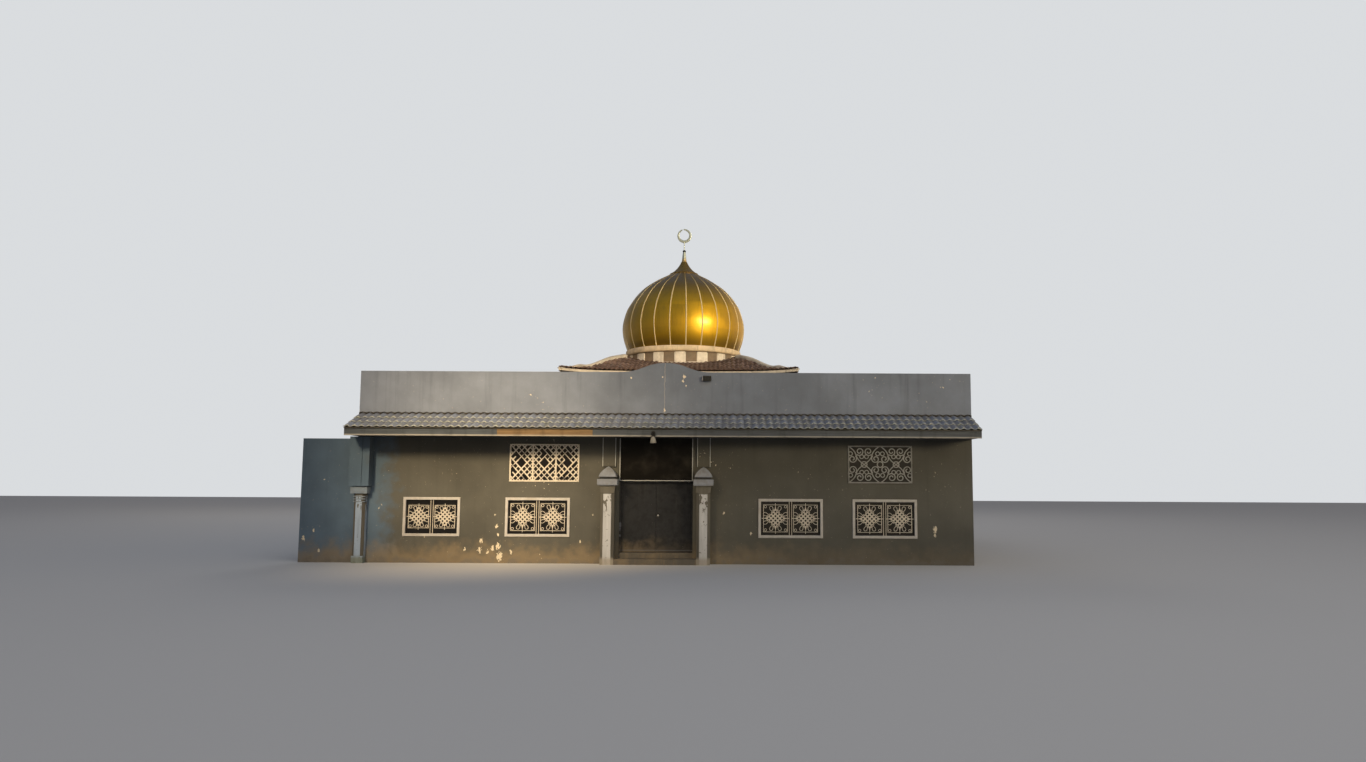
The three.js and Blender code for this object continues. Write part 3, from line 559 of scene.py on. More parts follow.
def dome_gold():
    """Gold-coloured sheet, slightly different from sheet to sheet, dull and brown in weathered patches and
    streaks, with painted dark reflection over its top and foot and painted shade on its left side.
    """
    paint = Paint("dome_gold", 0.30, 0.9)
    colour = paint.scaled(LINEAR["gold"], paint.ramp(paint.attribute("tone"), 0.0, 1.0, 0.92, 1.06))
    # Weathered patches, painted dark reflection towards the top and the foot, and painted shade on the left
    # side
    worn = paint.most(
        paint.patches(1.1, 6.0, 0.45, 0.70, 0.0, 0.26),
        paint.ramp(paint.axis(2), *DOME_TOP_DARK_REFLECTION, 0.0, 0.97),
        paint.ramp(paint.axis(2), *DOME_FOOT_DARK_REFLECTION, 0.0, 0.70),
        paint.ramp(paint.axis(0), DOME_X - 0.2, DOME_X - 1.9, 0.0, 0.42),
    )
    colour = paint.mix(worn, colour, LINEAR["gold_dark"])
    streak = paint.streaks(9.0, 0.6, 5.0, 0.50, 0.80, 0.0, 0.28)
    paint.give("Base Color", paint.mix(streak, colour, LINEAR["gold_dark"]))
    paint.give("Roughness", paint.patches(5.0, 5.0, 0.3, 0.7, 0.44, 0.52))
    paint.give("Coat Weight", 0.7)
    paint.give("Coat Roughness", 0.27)
    paint.grain(2.6, 3.0, 0.010, 0.25)
    paint.grain(40.0, 2.0, 0.0006, 0.3)
    return paint.material


def worn_metal(paint, colour, wear, amount):
    """Metal with patches of another colour and a fine grain."""
    worn = paint.patches(14.0, 5.0, 0.50, 0.74, 0.0, amount)
    paint.give("Base Color", paint.mix(worn, colour, LINEAR[wear]))
    paint.grain(60.0, 3.0, 0.001, 0.3)
    return paint.material


def plain_metal(name, colour, roughness, metallic, wear):
    paint = Paint(name, roughness, metallic)
    paint.give("Roughness", paint.patches(22.0, 4.0, 0.3, 0.7, roughness - 0.06, roughness + 0.10))
    return worn_metal(paint, LINEAR[colour], wear, 0.5)


def rib_metal():
    """Pale gilded beading, browner where it runs together under the dome's cap."""
    paint = Paint("rib_metal", 0.62, 0.15)
    brown = paint.ramp(paint.axis(2), *RIB_BROWNS, 0.0, 0.85)
    return worn_metal(paint, paint.mix(brown, LINEAR["rib"], LINEAR["gold_dark"]), "gold", 0.35)


def finial_metal():
    """Pale greenish metal, gold at its foot where it grows out of the dome's cap."""
    paint = Paint("finial_metal", 0.38, 0.65)
    gilded = paint.ramp(paint.axis(2), *FINIAL_GILT)
    return worn_metal(paint, paint.mix(gilded, LINEAR["finial"], LINEAR["finial_foot"]), "cement", 0.4)


def fascia_paint():
    """The eave's boards: one of them is raw and brown, the others weathered grey, paler along the foot as
    painted light.
    """
    paint = Paint("fascia_paint", 0.8)
    colour = paint.mix(paint.attribute("tone"), LINEAR["fascia_brown"], LINEAR["fascia"])
    wood_grain = paint.patches(1.0, 5.0, 0.35, 0.70, 0.78, 1.15, paint.stretched(1.6, 20.0, 38.0))
    colour = paint.scaled(colour, wood_grain)
    # Painted light: the boards turn paler along their foot
    lit_foot = paint.ramp(paint.axis(2), FASCIA_LOW.z + 0.05, FASCIA_LOW.z + 0.02, 0.0, 0.5)
    colour = paint.mix(lit_foot, colour, LINEAR["cement"])
    streak = paint.streaks(5.0, 1.0, 4.0, 0.50, 0.75, 0.0, 0.55)
    paint.give("Base Color", paint.darkened(streak, colour, 0.45))
    paint.bump(wood_grain, 0.002, 0.4)
    return paint.material


def door_paint():
    """Dark grey paint on the door leaves, darkened as painted shade of the recess and further towards the
    right, rubbed pale at the foot and scuffed here and there.
    """
    paint = Paint("door_paint", 0.62)
    x, height = paint.axis(0), paint.axis(2)
    # Patches of tone, and painted shade that darkens the leaves towards the right
    shade = paint.times(paint.patches(1.3, 5.0, 0.3, 0.7, 0.80, 1.20), paint.ramp(x, -0.8, 0.6, 1.0, 0.60))
    colour = paint.scaled(LINEAR["door"], shade)
    # Pale warm dust at the foot, stronger on the left, where it also stands as painted light on the left leaf
    dust = paint.ramp(paint.ragged(height, 4.0, 5.0, 0.2, 0.8, -0.18, 0.18), 0.75, 0.25, 0.0, 0.32)
    colour = paint.mix(paint.times(dust, paint.ramp(x, -0.7, 0.4, 1.0, 0.25)), colour, LINEAR["splash"])
    streak = paint.streaks(12.0, 0.5, 4.0, 0.58, 0.80, 0.0, 0.2)
    colour = paint.mix(streak, colour, paint.scaled(LINEAR["cement_dark"], 0.9))
    scuff = paint.patches(21.0, 5.0, 0.695, 0.72, 0.0, 0.4)
    colour = paint.mix(scuff, colour, LINEAR["cement"])
    rubbed = paint.ramp(paint.apart(height, KICK_LINE), 0.014, 0.006, 0.0, 0.30)
    flaked = paint.times(paint.spots(DOOR_FLAKES, JAMB_FACE), 0.5)
    paint.give("Base Color", paint.mix(paint.most(rubbed, flaked), colour, LINEAR["cap"]))
    paint.give("Roughness", paint.patches(8.0, 4.0, 0.3, 0.7, 0.50, 0.74))
    paint.grain(30.0, 4.0, 0.0015, 0.4)
    paint.bump(scuff, 0.001, -0.6)
    return paint.material


def board_paint():
    """Near-black board, dull with dust."""
    paint = Paint("board_paint", 0.5)
    dust = paint.patches(3.0, 6.0, 0.45, 0.80, 0.0, 0.10)
    paint.give("Base Color", paint.mix(dust, LINEAR["board"], LINEAR["cement_dark"]))
    paint.give("Specular IOR Level", 0.08)
    paint.give("Roughness", paint.ramp(dust, 0.0, 0.3, 0.42, 0.70))
    paint.grain(50.0, 3.0, 0.0008, 0.3)
    return paint.material


def roof_concrete():
    """The flat roof's concrete, with dried puddles, lichen and a few fine cracks."""
    paint = Paint("roof_concrete", 0.92)
    puddle = paint.patches(0.42, 5.0, 0.45, 0.62, 0.0, 0.45)
    colour = paint.mix(puddle, LINEAR["concrete"], LINEAR["cement_dark"])
    colour = paint.mix(paint.patches(7.0, 6.0, 0.60, 0.70, 0.0, 0.45), colour, LINEAR["moss"])
    cracked_area = paint.patches(0.7, 3.0, 0.50, 0.60)
    crack = paint.times(paint.ramp(paint.cracks(0.55), 0.008, 0.001, 0.0, 0.5), cracked_area)
    colour = paint.mix(crack, colour, LINEAR["window_dark"])
    paint.give("Base Color", paint.scaled(colour, paint.patches(24.0, 4.0, 0.3, 0.7, 0.88, 1.10)))
    paint.grain(40.0, 5.0, 0.004, 0.5)
    paint.bump(crack, 0.004, -0.8)
    return paint.material


def middle_x(node):
    low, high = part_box(node)
    return (low.x + high.x) / 2


MATERIALS = {
    "wall": wall_paint(),
    "white": weathered("white_paint", "white", "white_dirt", 0.78, 3.5, 0.45),
    "pier": pier_paint("pier_paint", "pier_white", PANEL_HALF, PANEL_TOP, "white_dirt"),
    "corner_pier": pier_paint("corner_pier_paint", "shaded_blue_white", CORNER_PANEL_HALF, CORNER_PANEL_TOP, "moss"),
    "cap": cap_cement(),
    "hip": weathered("hip_cement", "hip", "cement_dark", 0.9, 2.6, 0.5, 50.0, 0.005),
    "bead": weathered("mortar", "bead", "cement_dark", 0.92, 8.0, 0.45, 60.0, 0.004),
    "roof_tile": tile_clay("roof_tile", "cement", "roof_tile_lip", 0.22),
    "eave_tile": tile_clay("eave_tile", "moss", "lichen", 0.45),
    "drum": weathered("drum_paint", "drum_grey", "cement_dark", 0.9, 3.0, 0.5),
    "drum_white": weathered("drum_white", "drum_white", "drum_grey", 0.85, 5.0, 0.4),
    "ring": weathered("ring_paint", "ring", "drum_grey", 0.8, 2.5, 0.4),
    "gold": dome_gold(),
    "cap_gold": plain_metal("cap_gold", "cap_gold", 0.32, 0.9, "gold_dark"),
    "rib": rib_metal(),
    "finial": finial_metal(),
    "dark_metal": plain_metal("dark_metal", "dark_metal", 0.45, 0.6, "cement_dark"),
    "door": door_paint(),
    "board": board_paint(),
    "fascia": fascia_paint(),
    "soffit": weathered("soffit_paint", "soffit", "cement_dark", 0.85, 1.5, 0.5),
    "roof": roof_concrete(),
    "floor": weathered("floor_cement", "floor", "splash", 0.85, 1.4, 0.5),
    "dark": weathered("window_dark", "window_dark", "board", 0.8, 4.0, 0.5),
    "screen": weathered("screen_paint", "screen", "white_dirt", 0.75, 5.0, 0.30, 90.0, 0.001),
    "scroll": weathered("shaded_scroll_paint", "scroll", "cement_dark", 0.8, 5.0, 0.35, 90.0, 0.001),
    "mortar_shadow": weathered("mortar_shadow", "mortar_shadow", "window_dark", 0.95, 5.0, 0.5),
    "edge": weathered("edge_render", "edge", "cement_dark", 0.85, 6.0, 0.3),
    "lock": plain_metal("lock_metal", "lock", 0.5, 0.4, "cement_dark"),
    "lamp_glass": plain_metal("lamp_glass", "lamp", 0.35, 0.0, "white_dirt"),
}

CAD_FINISH = {
    "wall": [
        "front_wall_left", "front_wall_right", "front_wall_over_door", "wing_wall", "front_parapet_wall",
        "parapet_crest", "left_side_wall", "right_side_wall", "back_wall", "lantern_wall_front",
        "lantern_wall_right", "lantern_wall_back", "lantern_wall_left", "corner_pier_block",
    ],
    # Window sheets painted near-black as the shade inside
    "dark": ["left_window_sheet", "right_window_sheet", "back_window_sheet"],
    "pier": ["porch_pier_left", "porch_pier_right"],
    "corner_pier": ["corner_pier"],
    "cap": ["pier_capital_left", "pier_capital_right", "corner_pier_capital"],
    "roof": ["flat_roof_slab"],
    "floor": ["floor_slab", "entrance_step"],
    "door": ["door_frame", "door_leaf_left", "door_leaf_right"],
    "board": ["sign_board", "sign_frame"],
    "fascia": ["canopy_fascia"],
    "soffit": ["canopy_roof"],
    "roof_tile": ["lantern_roof"],
}


def finish_cad_nodes():
    for finish, nodes in CAD_FINISH.items():
        for node in nodes:
            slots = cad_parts[node].data.materials
            slots.clear()
            slots.append(MATERIALS[finish])


# Lines and solids

def turns(steps):
    """The angles of a full round, in equal steps."""
    return [2 * math.pi * step / steps for step in range(steps)]


def outward_at(angle):
    """A level direction, turned by an angle from the one that faces the front."""
    return Vector((math.sin(angle), -math.cos(angle), 0))


def circle(x, z, radius, steps, radius_z=None):
    return [(x + radius * math.cos(turn), z + (radius_z or radius) * math.sin(turn)) for turn in turns(steps)]


def arc(x, z, radius, first, last, steps, radius_z=None):
    """Points along part of a circle, from one angle in degrees to another."""
    angles = [math.radians(first + (last - first) * step / steps) for step in range(steps + 1)]
    return [(x + radius * math.cos(angle), z + (radius_z or radius) * math.sin(angle)) for angle in angles]


def rectangle(x, z, half_x, half_z):
    left, right, low, high = x - half_x, x + half_x, z - half_z, z + half_z
    return [(left, low), (right, low), (right, high), (left, high)]


def round_cornered(half_x, half_z, radius):
    """A rectangle round the middle whose corners are quarter circles."""
    points = []
    for quarter, (side_x, side_z) in enumerate(((1, 1), (-1, 1), (-1, -1), (1, -1))):
        start = 90 * quarter
        points += arc(side_x * (half_x - radius), side_z * (half_z - radius), radius, start, start + 90, 5)
    return points


class Shapes:
    """Gathers many solids, to become one mesh. A face has a tone, a point its crest and its descent."""

    def __init__(self):
        self.points, self.faces, self.tones, self.crests, self.descents = [], [], [], [], []

    def add(self, points, faces, tone=0.5, crests=None, descents=None):
        first = len(self.points)
        self.points.extend(points)
        self.crests.extend(crests or [0.5] * len(points))
        self.descents.extend(descents or [0.5] * len(points))
        self.faces.extend([first + index for index in face] for face in faces)
        self.tones.extend([tone] * len(faces))

    def loft(self, rings, closed=False, tone=0.5, crests=None, descents=None):
        """A solid through rings of points, with its ends filled unless it closes on itself."""
        count = len(rings[0])
        firsts = [index * count for index in range(len(rings))]
        faces = []
        for here, there in zip(firsts, firsts[1:] + firsts[:1] if closed else firsts[1:]):
            for corner in range(count):
                after = (corner + 1) % count
                faces.append([here + corner, here + after, there + after, there + corner])
        if not closed:
            faces.append(list(range(count)))
            faces.append([firsts[-1] + corner for corner in range(count)])
        self.add([point for ring in rings for point in ring], faces, tone, crests, descents)
        return self

    def sweep(self, stations, section, closed=False):
        """A solid along stations, each an origin with the two axes that its section is drawn on."""
        rings = [[origin + side * a + up * b for a, b in section] for origin, side, up in stations]
        return self.loft(rings, closed)

    def turned(self, section, steps, centre=CENTRE):
        """A solid turned round an upright axis, with its section drawn in radius and height."""
        return self.sweep([(centre, outward_at(turn), UP) for turn in turns(steps)], section, True)

    def box(self, low, high, bevel=0.0, tone=0.5):
        """A box whose edges are cut back by the bevel."""
        rings = []
        for z, inset in ((low[2], bevel), (low[2] + bevel, 0.0), (high[2] - bevel, 0.0), (high[2], bevel)):
            ring = []
            for side_x, side_y in ((0, 0), (1, 0), (1, 1), (0, 1)):
                cuts = [(inset, bevel), (bevel, inset)]
                for cut_x, cut_y in cuts if side_x == side_y else reversed(cuts):
                    x = high[0] - cut_x if side_x else low[0] + cut_x
                    y = high[1] - cut_y if side_y else low[1] + cut_y
                    ring.append(Vector((x, y, z)))
            rings.append(ring)
        return self.loft(rings, tone=tone)

    def moved(self, placement):
        """A copy of the gathered solids at another place."""
        copy = Shapes()
        copy.add([placement @ point for point in self.points], self.faces)
        return copy


def make(name, shapes, finish, body="building", smooth_angle=35.0):
    """Turns gathered solids into one piece, with its faces outward, riding on a body."""
    mesh = bpy.data.meshes.new(name)
    mesh.from_pydata(shapes.points, [], shapes.faces)
    for attribute, domain in (("tone", "FACE"), ("crest", "POINT"), ("descent", "POINT")):
        values = mesh.attributes.new(attribute, "FLOAT", domain)
        values.data.foreach_set("value", getattr(shapes, attribute + "s"))
    tidy = bmesh.new()
    tidy.from_mesh(mesh)
    bmesh.ops.remove_doubles(tidy, verts=tidy.verts, dist=1e-5)
    bmesh.ops.recalc_face_normals(tidy, faces=tidy.faces)
    tidy.to_mesh(mesh)
    tidy.free()
    mesh.shade_smooth()
    mesh.set_sharp_from_angle(angle=math.radians(smooth_angle))
    mesh.materials.append(MATERIALS[finish])
    piece = bpy.data.objects.new(name, mesh)
    bpy.context.scene.collection.objects.link(piece)
    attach(piece, body)
    return piece


# Window screens, drawn in X and Z round their own middle

def flat_line(points, closed):
    """Stations along a line drawn in X and Z, with their axes across the line and out of its plane."""
    places = [Vector((x, 0, z)) for x, z in points]
    last = len(places) - 1
    stations = []
    for index, place in enumerate(places):
        before = places[index - 1] if closed or index > 0 else place
        after = places[(index + 1) % len(places)] if closed or index < last else place
        along = (after - before).normalized()
        across = Vector((-along.z, 0, along.x))
        if closed or 0 < index < last:
            across = across / max(0.5, abs((place - before).normalized().cross(OUT).dot(across)))
        stations.append((place, across, OUT))
    return stations


def bar(shapes, points, width, closed=False, lift=0.0):
    """A flat bar of a screen. A lift keeps crossing bars apart."""
    half_depth = (BAR_DEPTH + lift) / 2
    shapes.sweep(flat_line(points, closed), rectangle(0.0, half_depth, width / 2, half_depth), closed)


def upright(outline, out):
    """Points of an outline drawn in X and Z, brought forward."""
    return [Vector((x, -out, z)) for x, z in outline]


def pierced_cell(shapes, x, z):
    """One diamond of the star with an eight-sided hole in its middle."""
    reach = STAR_PITCH - 0.0003
    diamond = []
    for index, turn in enumerate(turns(8)):
        radius = reach / math.sqrt(2) if index % 2 else reach
        diamond.append((x + radius * math.cos(turn), z + radius * math.sin(turn)))
    hole = circle(x, z, STAR_HOLE, 8)
    rings = [upright(hole, 0.0), upright(diamond, 0.0), upright(diamond, BAR_DEPTH), upright(hole, BAR_DEPTH)]
    shapes.loft(rings, True)


def lace_star(shapes, x, z, reach):
    """A star: diamond cells with a hole in each, small loops along its edges and a point at each end."""
    cells = [index - (STAR_CELLS - 1) / 2 for index in range(STAR_CELLS)]
    for i in cells:
        for j in cells:
            pierced_cell(shapes, x + (i - j) * STAR_PITCH, z + (i + j) * STAR_PITCH)
    rim = STAR_CELLS / 2 * STAR_PITCH + 0.008
    for i in cells:
        for side in (-1, 1):
            for a, b in ((side * rim, i * STAR_PITCH), (i * STAR_PITCH, side * rim)):
                bar(shapes, circle(x + a - b, z + a + b, STAR_LOOP, 8), LACE_BAR, True, -0.001)
    foot = (STAR_CELLS - 0.4) * STAR_PITCH
    for across, up in ((1, 0), (-1, 0), (0, 1), (0, -1)):
        corners = []
        for along, aside in ((foot, 0.030), (foot, -0.030), (reach, -0.004), (reach, 0.004)):
            corners.append((x + across * along - up * aside, z + up * along + across * aside))
        shapes.loft([upright(corners, 0.0), upright(corners, BAR_DEPTH + 0.001)])


def petal(x, z, turn, length, breadth):
    """A narrow loop that points away from a place, like a leaf."""
    along = Vector((math.cos(turn), math.sin(turn)))
    across = Vector((-along.y, along.x))
    points = []
    for swing in turns(14):
        side = breadth / 2 * math.sin(swing) * (1.0 + 0.35 * math.cos(swing))
        offset = along * length / 2 * (1.0 + math.cos(swing)) + across * side
        points.append((x + offset.x, z + offset.y))
    return points


def lace_panel(shapes, x, z, half_x, half_z):
    """One square panel: a star with leaves round it, corner rings and a thin outline."""
    reach = half_x * 0.97
    bar(shapes, rectangle(x, z, half_x, half_z), 0.013, True)
    lace_star(shapes, x, z, reach)
    for index in range(8):
        turn = math.pi * (2 * index + 1) / 8
        foot_x, foot_z = x + reach * 0.66 * math.cos(turn), z + reach * 0.66 * math.sin(turn)
        leaf = petal(foot_x, foot_z, turn, reach * 0.46, LEAF_BREADTH)
        bar(shapes, leaf, LACE_BAR, True, 0.001 + 0.001 * (index % 2))
    for corner_x, corner_z in rectangle(x, z, half_x - 0.050, half_z - 0.050):
        bar(shapes, circle(corner_x, corner_z, CORNER_RING, 12), 0.011, True, 0.003)
    for side in (-1, 1):
        bar(shapes, [(x + side * reach * 0.97, z), (x + side * (half_x + 0.05), z)], 0.016, lift=0.004)
        bar(shapes, [(x, z + side * reach * 0.97), (x, z + side * (half_z + 0.045))], LACE_BAR, lift=0.004)


def lace_screen(shapes, width, height):
    """Two square panels side by side with a pair of thin uprights between them."""
    half_x = width / 4 - 0.075
    for side in (-1, 1):
        lace_panel(shapes, side * (width / 4 + 0.006), 0.0, half_x, min(height * 0.42, half_x * 1.12))
        bar(shapes, [(side * 0.032, -height / 2), (side * 0.032, height / 2)], 0.015, lift=-0.002)


def lattice_screen(shapes, width, height):
    """Crossing diagonal bars in three panels, with some bars left out so that the holes differ."""
    columns, rows = 12, 6
    chance = random.Random(31)
    for i in range(2 * columns):
        for j in range(2 * rows):
            rising = (i + j) % 2 == 0
            ends = [(i, j), (i + 1, j + 1)] if rising else [(i + 1, j), (i, j + 1)]
            if any(row == rows and column % 8 == 4 for column, row in ends):
                continue
            heavy = (i - j) % 8 in (0, 7) or (i + j) % 8 in (0, 7)
            if not heavy and chance.random() < LEFT_OUT:
                continue
            points = [((a / columns - 1) * width / 2, (b / rows - 1) * height / 2) for a, b in ends]
            lift = (0.0015 if rising else 0.0) + (0.003 if heavy else 0.0)
            bar(shapes, points, HEAVY_BAR if heavy else LIGHT_BAR, lift=lift)
    for share in (-1, 1):
        bar(shapes, [(share * width / 6, -height / 2), (share * width / 6, height / 2)], 0.038, lift=0.006)
    bar(shapes, round_cornered(width / 2 - 0.015, height / 2 - 0.015, 0.05), 0.030, True, 0.007)


def spiral(x, z, radius, turn, direction):
    """A scroll that winds in from a place on its rim."""
    points = []
    for step in range(22):
        share = step / 21
        angle = turn + direction * 2 * math.pi * SCROLL_TURNS * share
        reach = radius * (1.0 - 0.72 * share)
        points.append((x + reach * math.cos(angle), z + reach * math.sin(angle)))
    return points


def scroll_cell(shapes, x, z, width, height, flip_x, flip_z):
    """A stem from corner to corner, a scroll on each side of it and two small rings."""
    stem = []
    for step in range(13):
        share = step / 12
        sway = 0.10 * math.sin(2 * math.pi * share) * width
        stem.append((x + flip_x * ((share - 0.5) * width + sway), z + flip_z * (share - 0.5) * height))
    bar(shapes, stem, SCROLL_BAR)
    for side in (-1, 1):
        centre_x = x + side * flip_x * width * 0.22
        centre_z = z - side * flip_z * height * 0.20
        turn = math.atan2(z - centre_z, x - centre_x)
        scroll = spiral(centre_x, centre_z, SCROLL_RADIUS, turn, side * flip_x * flip_z)
        bar(shapes, scroll, SCROLL_BAR, lift=0.0015 * (2 + side))
        ring_x, ring_z = x + side * flip_x * width * 0.35, z + side * flip_z * height * 0.08
        bar(shapes, circle(ring_x, ring_z, SCROLL_RING, 14), 0.022, True, -0.001)


def scroll_screen(shapes, width, height):
    """Mirrored scrolls and rings round swaying stems."""
    columns, rows = 4, 2
    cell_x, cell_z = width / columns, height / rows
    for column in range(columns):
        for row in range(rows):
            x, z = -width / 2 + (column + 0.5) * cell_x, -height / 2 + (row + 0.5) * cell_z
            scroll_cell(shapes, x, z, cell_x, cell_z, 1 if column % 2 else -1, 1 if row % 2 else -1)
    for column in range(1, columns):
        joint = circle(-width / 2 + column * cell_x, 0.0, JOINT_RING, 16)
        bar(shapes, joint, SCROLL_BAR, True, 0.005)
    bar(shapes, round_cornered(width / 2 - 0.014, height / 2 - 0.014, 0.05), 0.028, True, 0.006)


def border_ring(width, height):
    """A raised plaster border with a sleeve that lines the hole behind it."""
    section = [
        (0.0, 0.0), (0.0, BORDER_DEPTH - SCREEN_BEVEL), (SCREEN_BEVEL, BORDER_DEPTH),
        (BORDER - SCREEN_BEVEL, BORDER_DEPTH), (BORDER, BORDER_DEPTH - SCREEN_BEVEL),
        (BORDER, -SCREEN_SETBACK), (BORDER_LAP + 0.001, -SCREEN_SETBACK), (BORDER_LAP + 0.001, 0.0),
    ]
    stations = []
    for side_x, side_z in rectangle(0, 0, 1, 1):
        inward = Vector((-side_x, 0, -side_z))
        stations.append((Vector((side_x * width / 2, 0, side_z * height / 2)), inward, OUT))
    return Shapes().sweep(stations, section, True)


def window_parts(width, height):
    """The border, the near-black backing that stands as painted shade behind the screen, and the pierced
    screen of a window, round the window's middle.
    """
    hole_x, hole_z = (side / 2 - BORDER_LAP - HOLE_CLEARANCE for side in (width, height))
    backing = Shapes().box((-hole_x, SCREEN_SETBACK, -hole_z), (hole_x, SCREEN_SETBACK + 0.03, hole_z), 0.002)
    pierced = Shapes()
    lace_screen(pierced, width - 2 * BORDER, height - 2 * BORDER)
    inward = Matrix.Translation((0, SCREEN_SETBACK - 0.004, 0))
    return border_ring(width, height), backing, pierced.moved(inward)


def upper_screen_parts(width, height, pattern):
    """A pierced screen that fills its hole up to the edge, with a thin rim and a near-black backing as
    painted shade behind it.
    """
    rim_line = flat_line(round_cornered(width / 2 - 0.008, height / 2 - 0.008, 0.055), True)
    rim = Shapes().sweep(rim_line, rectangle(0.0, 0.01, 0.008, 0.01), True)
    half_x, half_z = width / 2 - 0.006, height / 2 - 0.006
    backing = Shapes().box((-half_x, -0.003, -half_z), (half_x, 0.02, half_z))
    pierced = Shapes()
    pattern(pierced, 2 * half_x, 2 * half_z)
    return rim, backing, pierced.moved(Matrix.Translation((0, -0.002, 0)))


def front_windows():
    patterns = {"upper_screen_left": lattice_screen, "upper_screen_right": scroll_screen}
    for node in ("window_1", "window_2", "window_3", "window_4", *patterns):
        low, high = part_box(node)
        placement = Matrix.Translation((middle_x(node), FRONT_FACE, (low.z + high.z) / 2))
        size = (high.x - low.x, high.z - low.z)
        parts = upper_screen_parts(*size, patterns[node]) if node in patterns else window_parts(*size)
        border, backing, pierced = (part.moved(placement) for part in parts)
        # The upper right screen and its rim take the screen paint darkened as painted shade
        bars_finish = "scroll" if node == "upper_screen_right" else "screen"
        shown = make(node + "_border", border, bars_finish if node in patterns else "white")
        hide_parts(node)
        make(node + "_backing", backing, "dark")
        make(node + "_bars", pierced, bars_finish)


def wall_windows(name, turn, face, windows, screens, screen_pattern):
    """The borders and pierced screens of one side, turned round the hall from the front."""
    borders, backings, bars = Shapes(), Shapes(), Shapes()
    rows = [
        (windows, WINDOW_MIDDLE, window_parts(*WINDOW_SIZE)),
        (screens, SCREEN_MIDDLE, upper_screen_parts(*SCREEN_SIZE, screen_pattern)),
    ]
    for places, middle, parts in rows:
        for place in places:
            placement = Matrix.Rotation(turn, 4, "Z") @ Matrix.Translation((place, -face, middle))
            for target, source in zip((borders, backings, bars), parts):
                copy = source.moved(placement)
                target.add(copy.points, copy.faces)
    make(name + "_window_borders", borders, "white")
    make(name + "_window_backings", backings, "dark")
    make(name + "_window_bars", bars, "screen")


# Roofs

def smooth_step(value, low, high):
    share = min(1.0, max(0.0, (value - low) / (high - low)))
    return share * share * (3.0 - 2.0 * share)


def roof_height(half, across):
    """The height of the roof round the drum, at a distance from its middle and a share along its side."""
    run = (ROOF_HALF - half) / (ROOF_HALF - DRUM_RADIUS)
    rise = (ROOF_DRUM_TOP - ROOF_EAVE) * min(1.0, max(0.0, run)) ** ROOF_CURVE
    upturn = ROOF_UPTURN * max(0.0, 1.0 - run) ** 2
    lift = ROOF_LIFT * smooth_step(run, *LIFT_RISES) * (1.0 - smooth_step(run, *LIFT_FALLS))
    return ROOF_EAVE + rise + (upturn + lift) * across**4


def roof_side(side):
    """Brings points of the roof's front slope to one of its four slopes."""
    return Matrix.Translation(CENTRE) @ Matrix.Rotation(side * math.pi / 2, 4, "Z")


def tile(shapes, place, start, width, upper, lower, chance):
    """One tile, a rib between two halves of a trough. place(u, v, lift) gives a point of the roof."""
    tilt = chance.uniform(-TILE_TILT, TILE_TILT)
    slip = chance.uniform(-TILE_SLIP, TILE_SLIP)
    tone = chance.random()
    rings, crests = [], []
    for step in range(TILE_STEPS + 1):
        share = step / TILE_STEPS
        crest = (0.5 - 0.5 * math.cos(2 * math.pi * share)) ** 1.2
        u = start + share * width
        top = TILE_SEAT + TILE_RIB * crest + tilt * (share - 0.5) * 2
        corners = [(upper, top), (lower + slip, top + TILE_LAP)]
        corners += [(v, lift - TILE_THICKNESS) for v, lift in reversed(corners)]
        rings.append([place(u, v, lift) for v, lift in corners])
        crests += [crest] * len(corners)
    shapes.loft(rings, False, tone, crests, [0.0, 1.0, 1.0, 0.0] * len(rings))


def eave_tiles():
    """Tiles on the long eave over the front."""
    chance = random.Random(11)
    columns = round((EAVE_HIGH.x - EAVE_LOW.x) / EAVE_COLUMN)
    width = (EAVE_HIGH.x - EAVE_LOW.x) / columns

    def place(u, v, lift):
        y = EAVE_HIGH.y - v * (EAVE_HIGH.y - EAVE_LOW.y)
        return Vector((u, y, EAVE_HIGH.z + (EAVE_TIP - EAVE_HIGH.z) * v + lift))

    shapes = Shapes()
    for row in range(EAVE_ROWS):
        for column in range(columns):
            start = EAVE_LOW.x + column * width
            tile(shapes, place, start, width, row / EAVE_ROWS, (row + ROW_REACH) / EAVE_ROWS, chance)
    make("canopy_tiles", shapes, "eave_tile")


def lantern_tiles():
    """Tiles on the four slopes round the drum, cut along the hips and round the drum."""
    chance = random.Random(23)
    drum = DRUM_RADIUS + BLOCK_PROUD
    columns = round(2 * ROOF_HALF / LANTERN_COLUMN)
    width = 2 * ROOF_HALF / columns
    rows = math.ceil((ROOF_HALF - drum / math.sqrt(2)) / LANTERN_ROW)
    shapes = Shapes()
    for side in range(4):
        turn = roof_side(side)

        def place(u, v, lift):
            half = max(v, math.sqrt(max(0.0, drum**2 - u**2)))
            x = max(-half, min(half, u))
            return turn @ Vector((x, -half, roof_height(half, x / half) + lift))

        for row in range(rows):
            lower = ROOF_HALF - row * LANTERN_ROW
            upper = lower - LANTERN_ROW * ROW_REACH
            lower += 0.02 if row == 0 else 0.0
            for column in range(columns):
                start = -ROOF_HALF + column * width
                nearest = min(abs(start), abs(start + width))
                if nearest < lower and math.hypot(nearest, lower) >= drum:
                    tile(shapes, place, start, width, upper, lower, chance)
    make("lantern_tiles", shapes, "roof_tile")


def uneven(place):
    """An irregular direction that is always the same at the same place, for hand-laid cement."""
    return Vector([noise.noise(place + UP * shift) for shift in (0, 31, 67)])


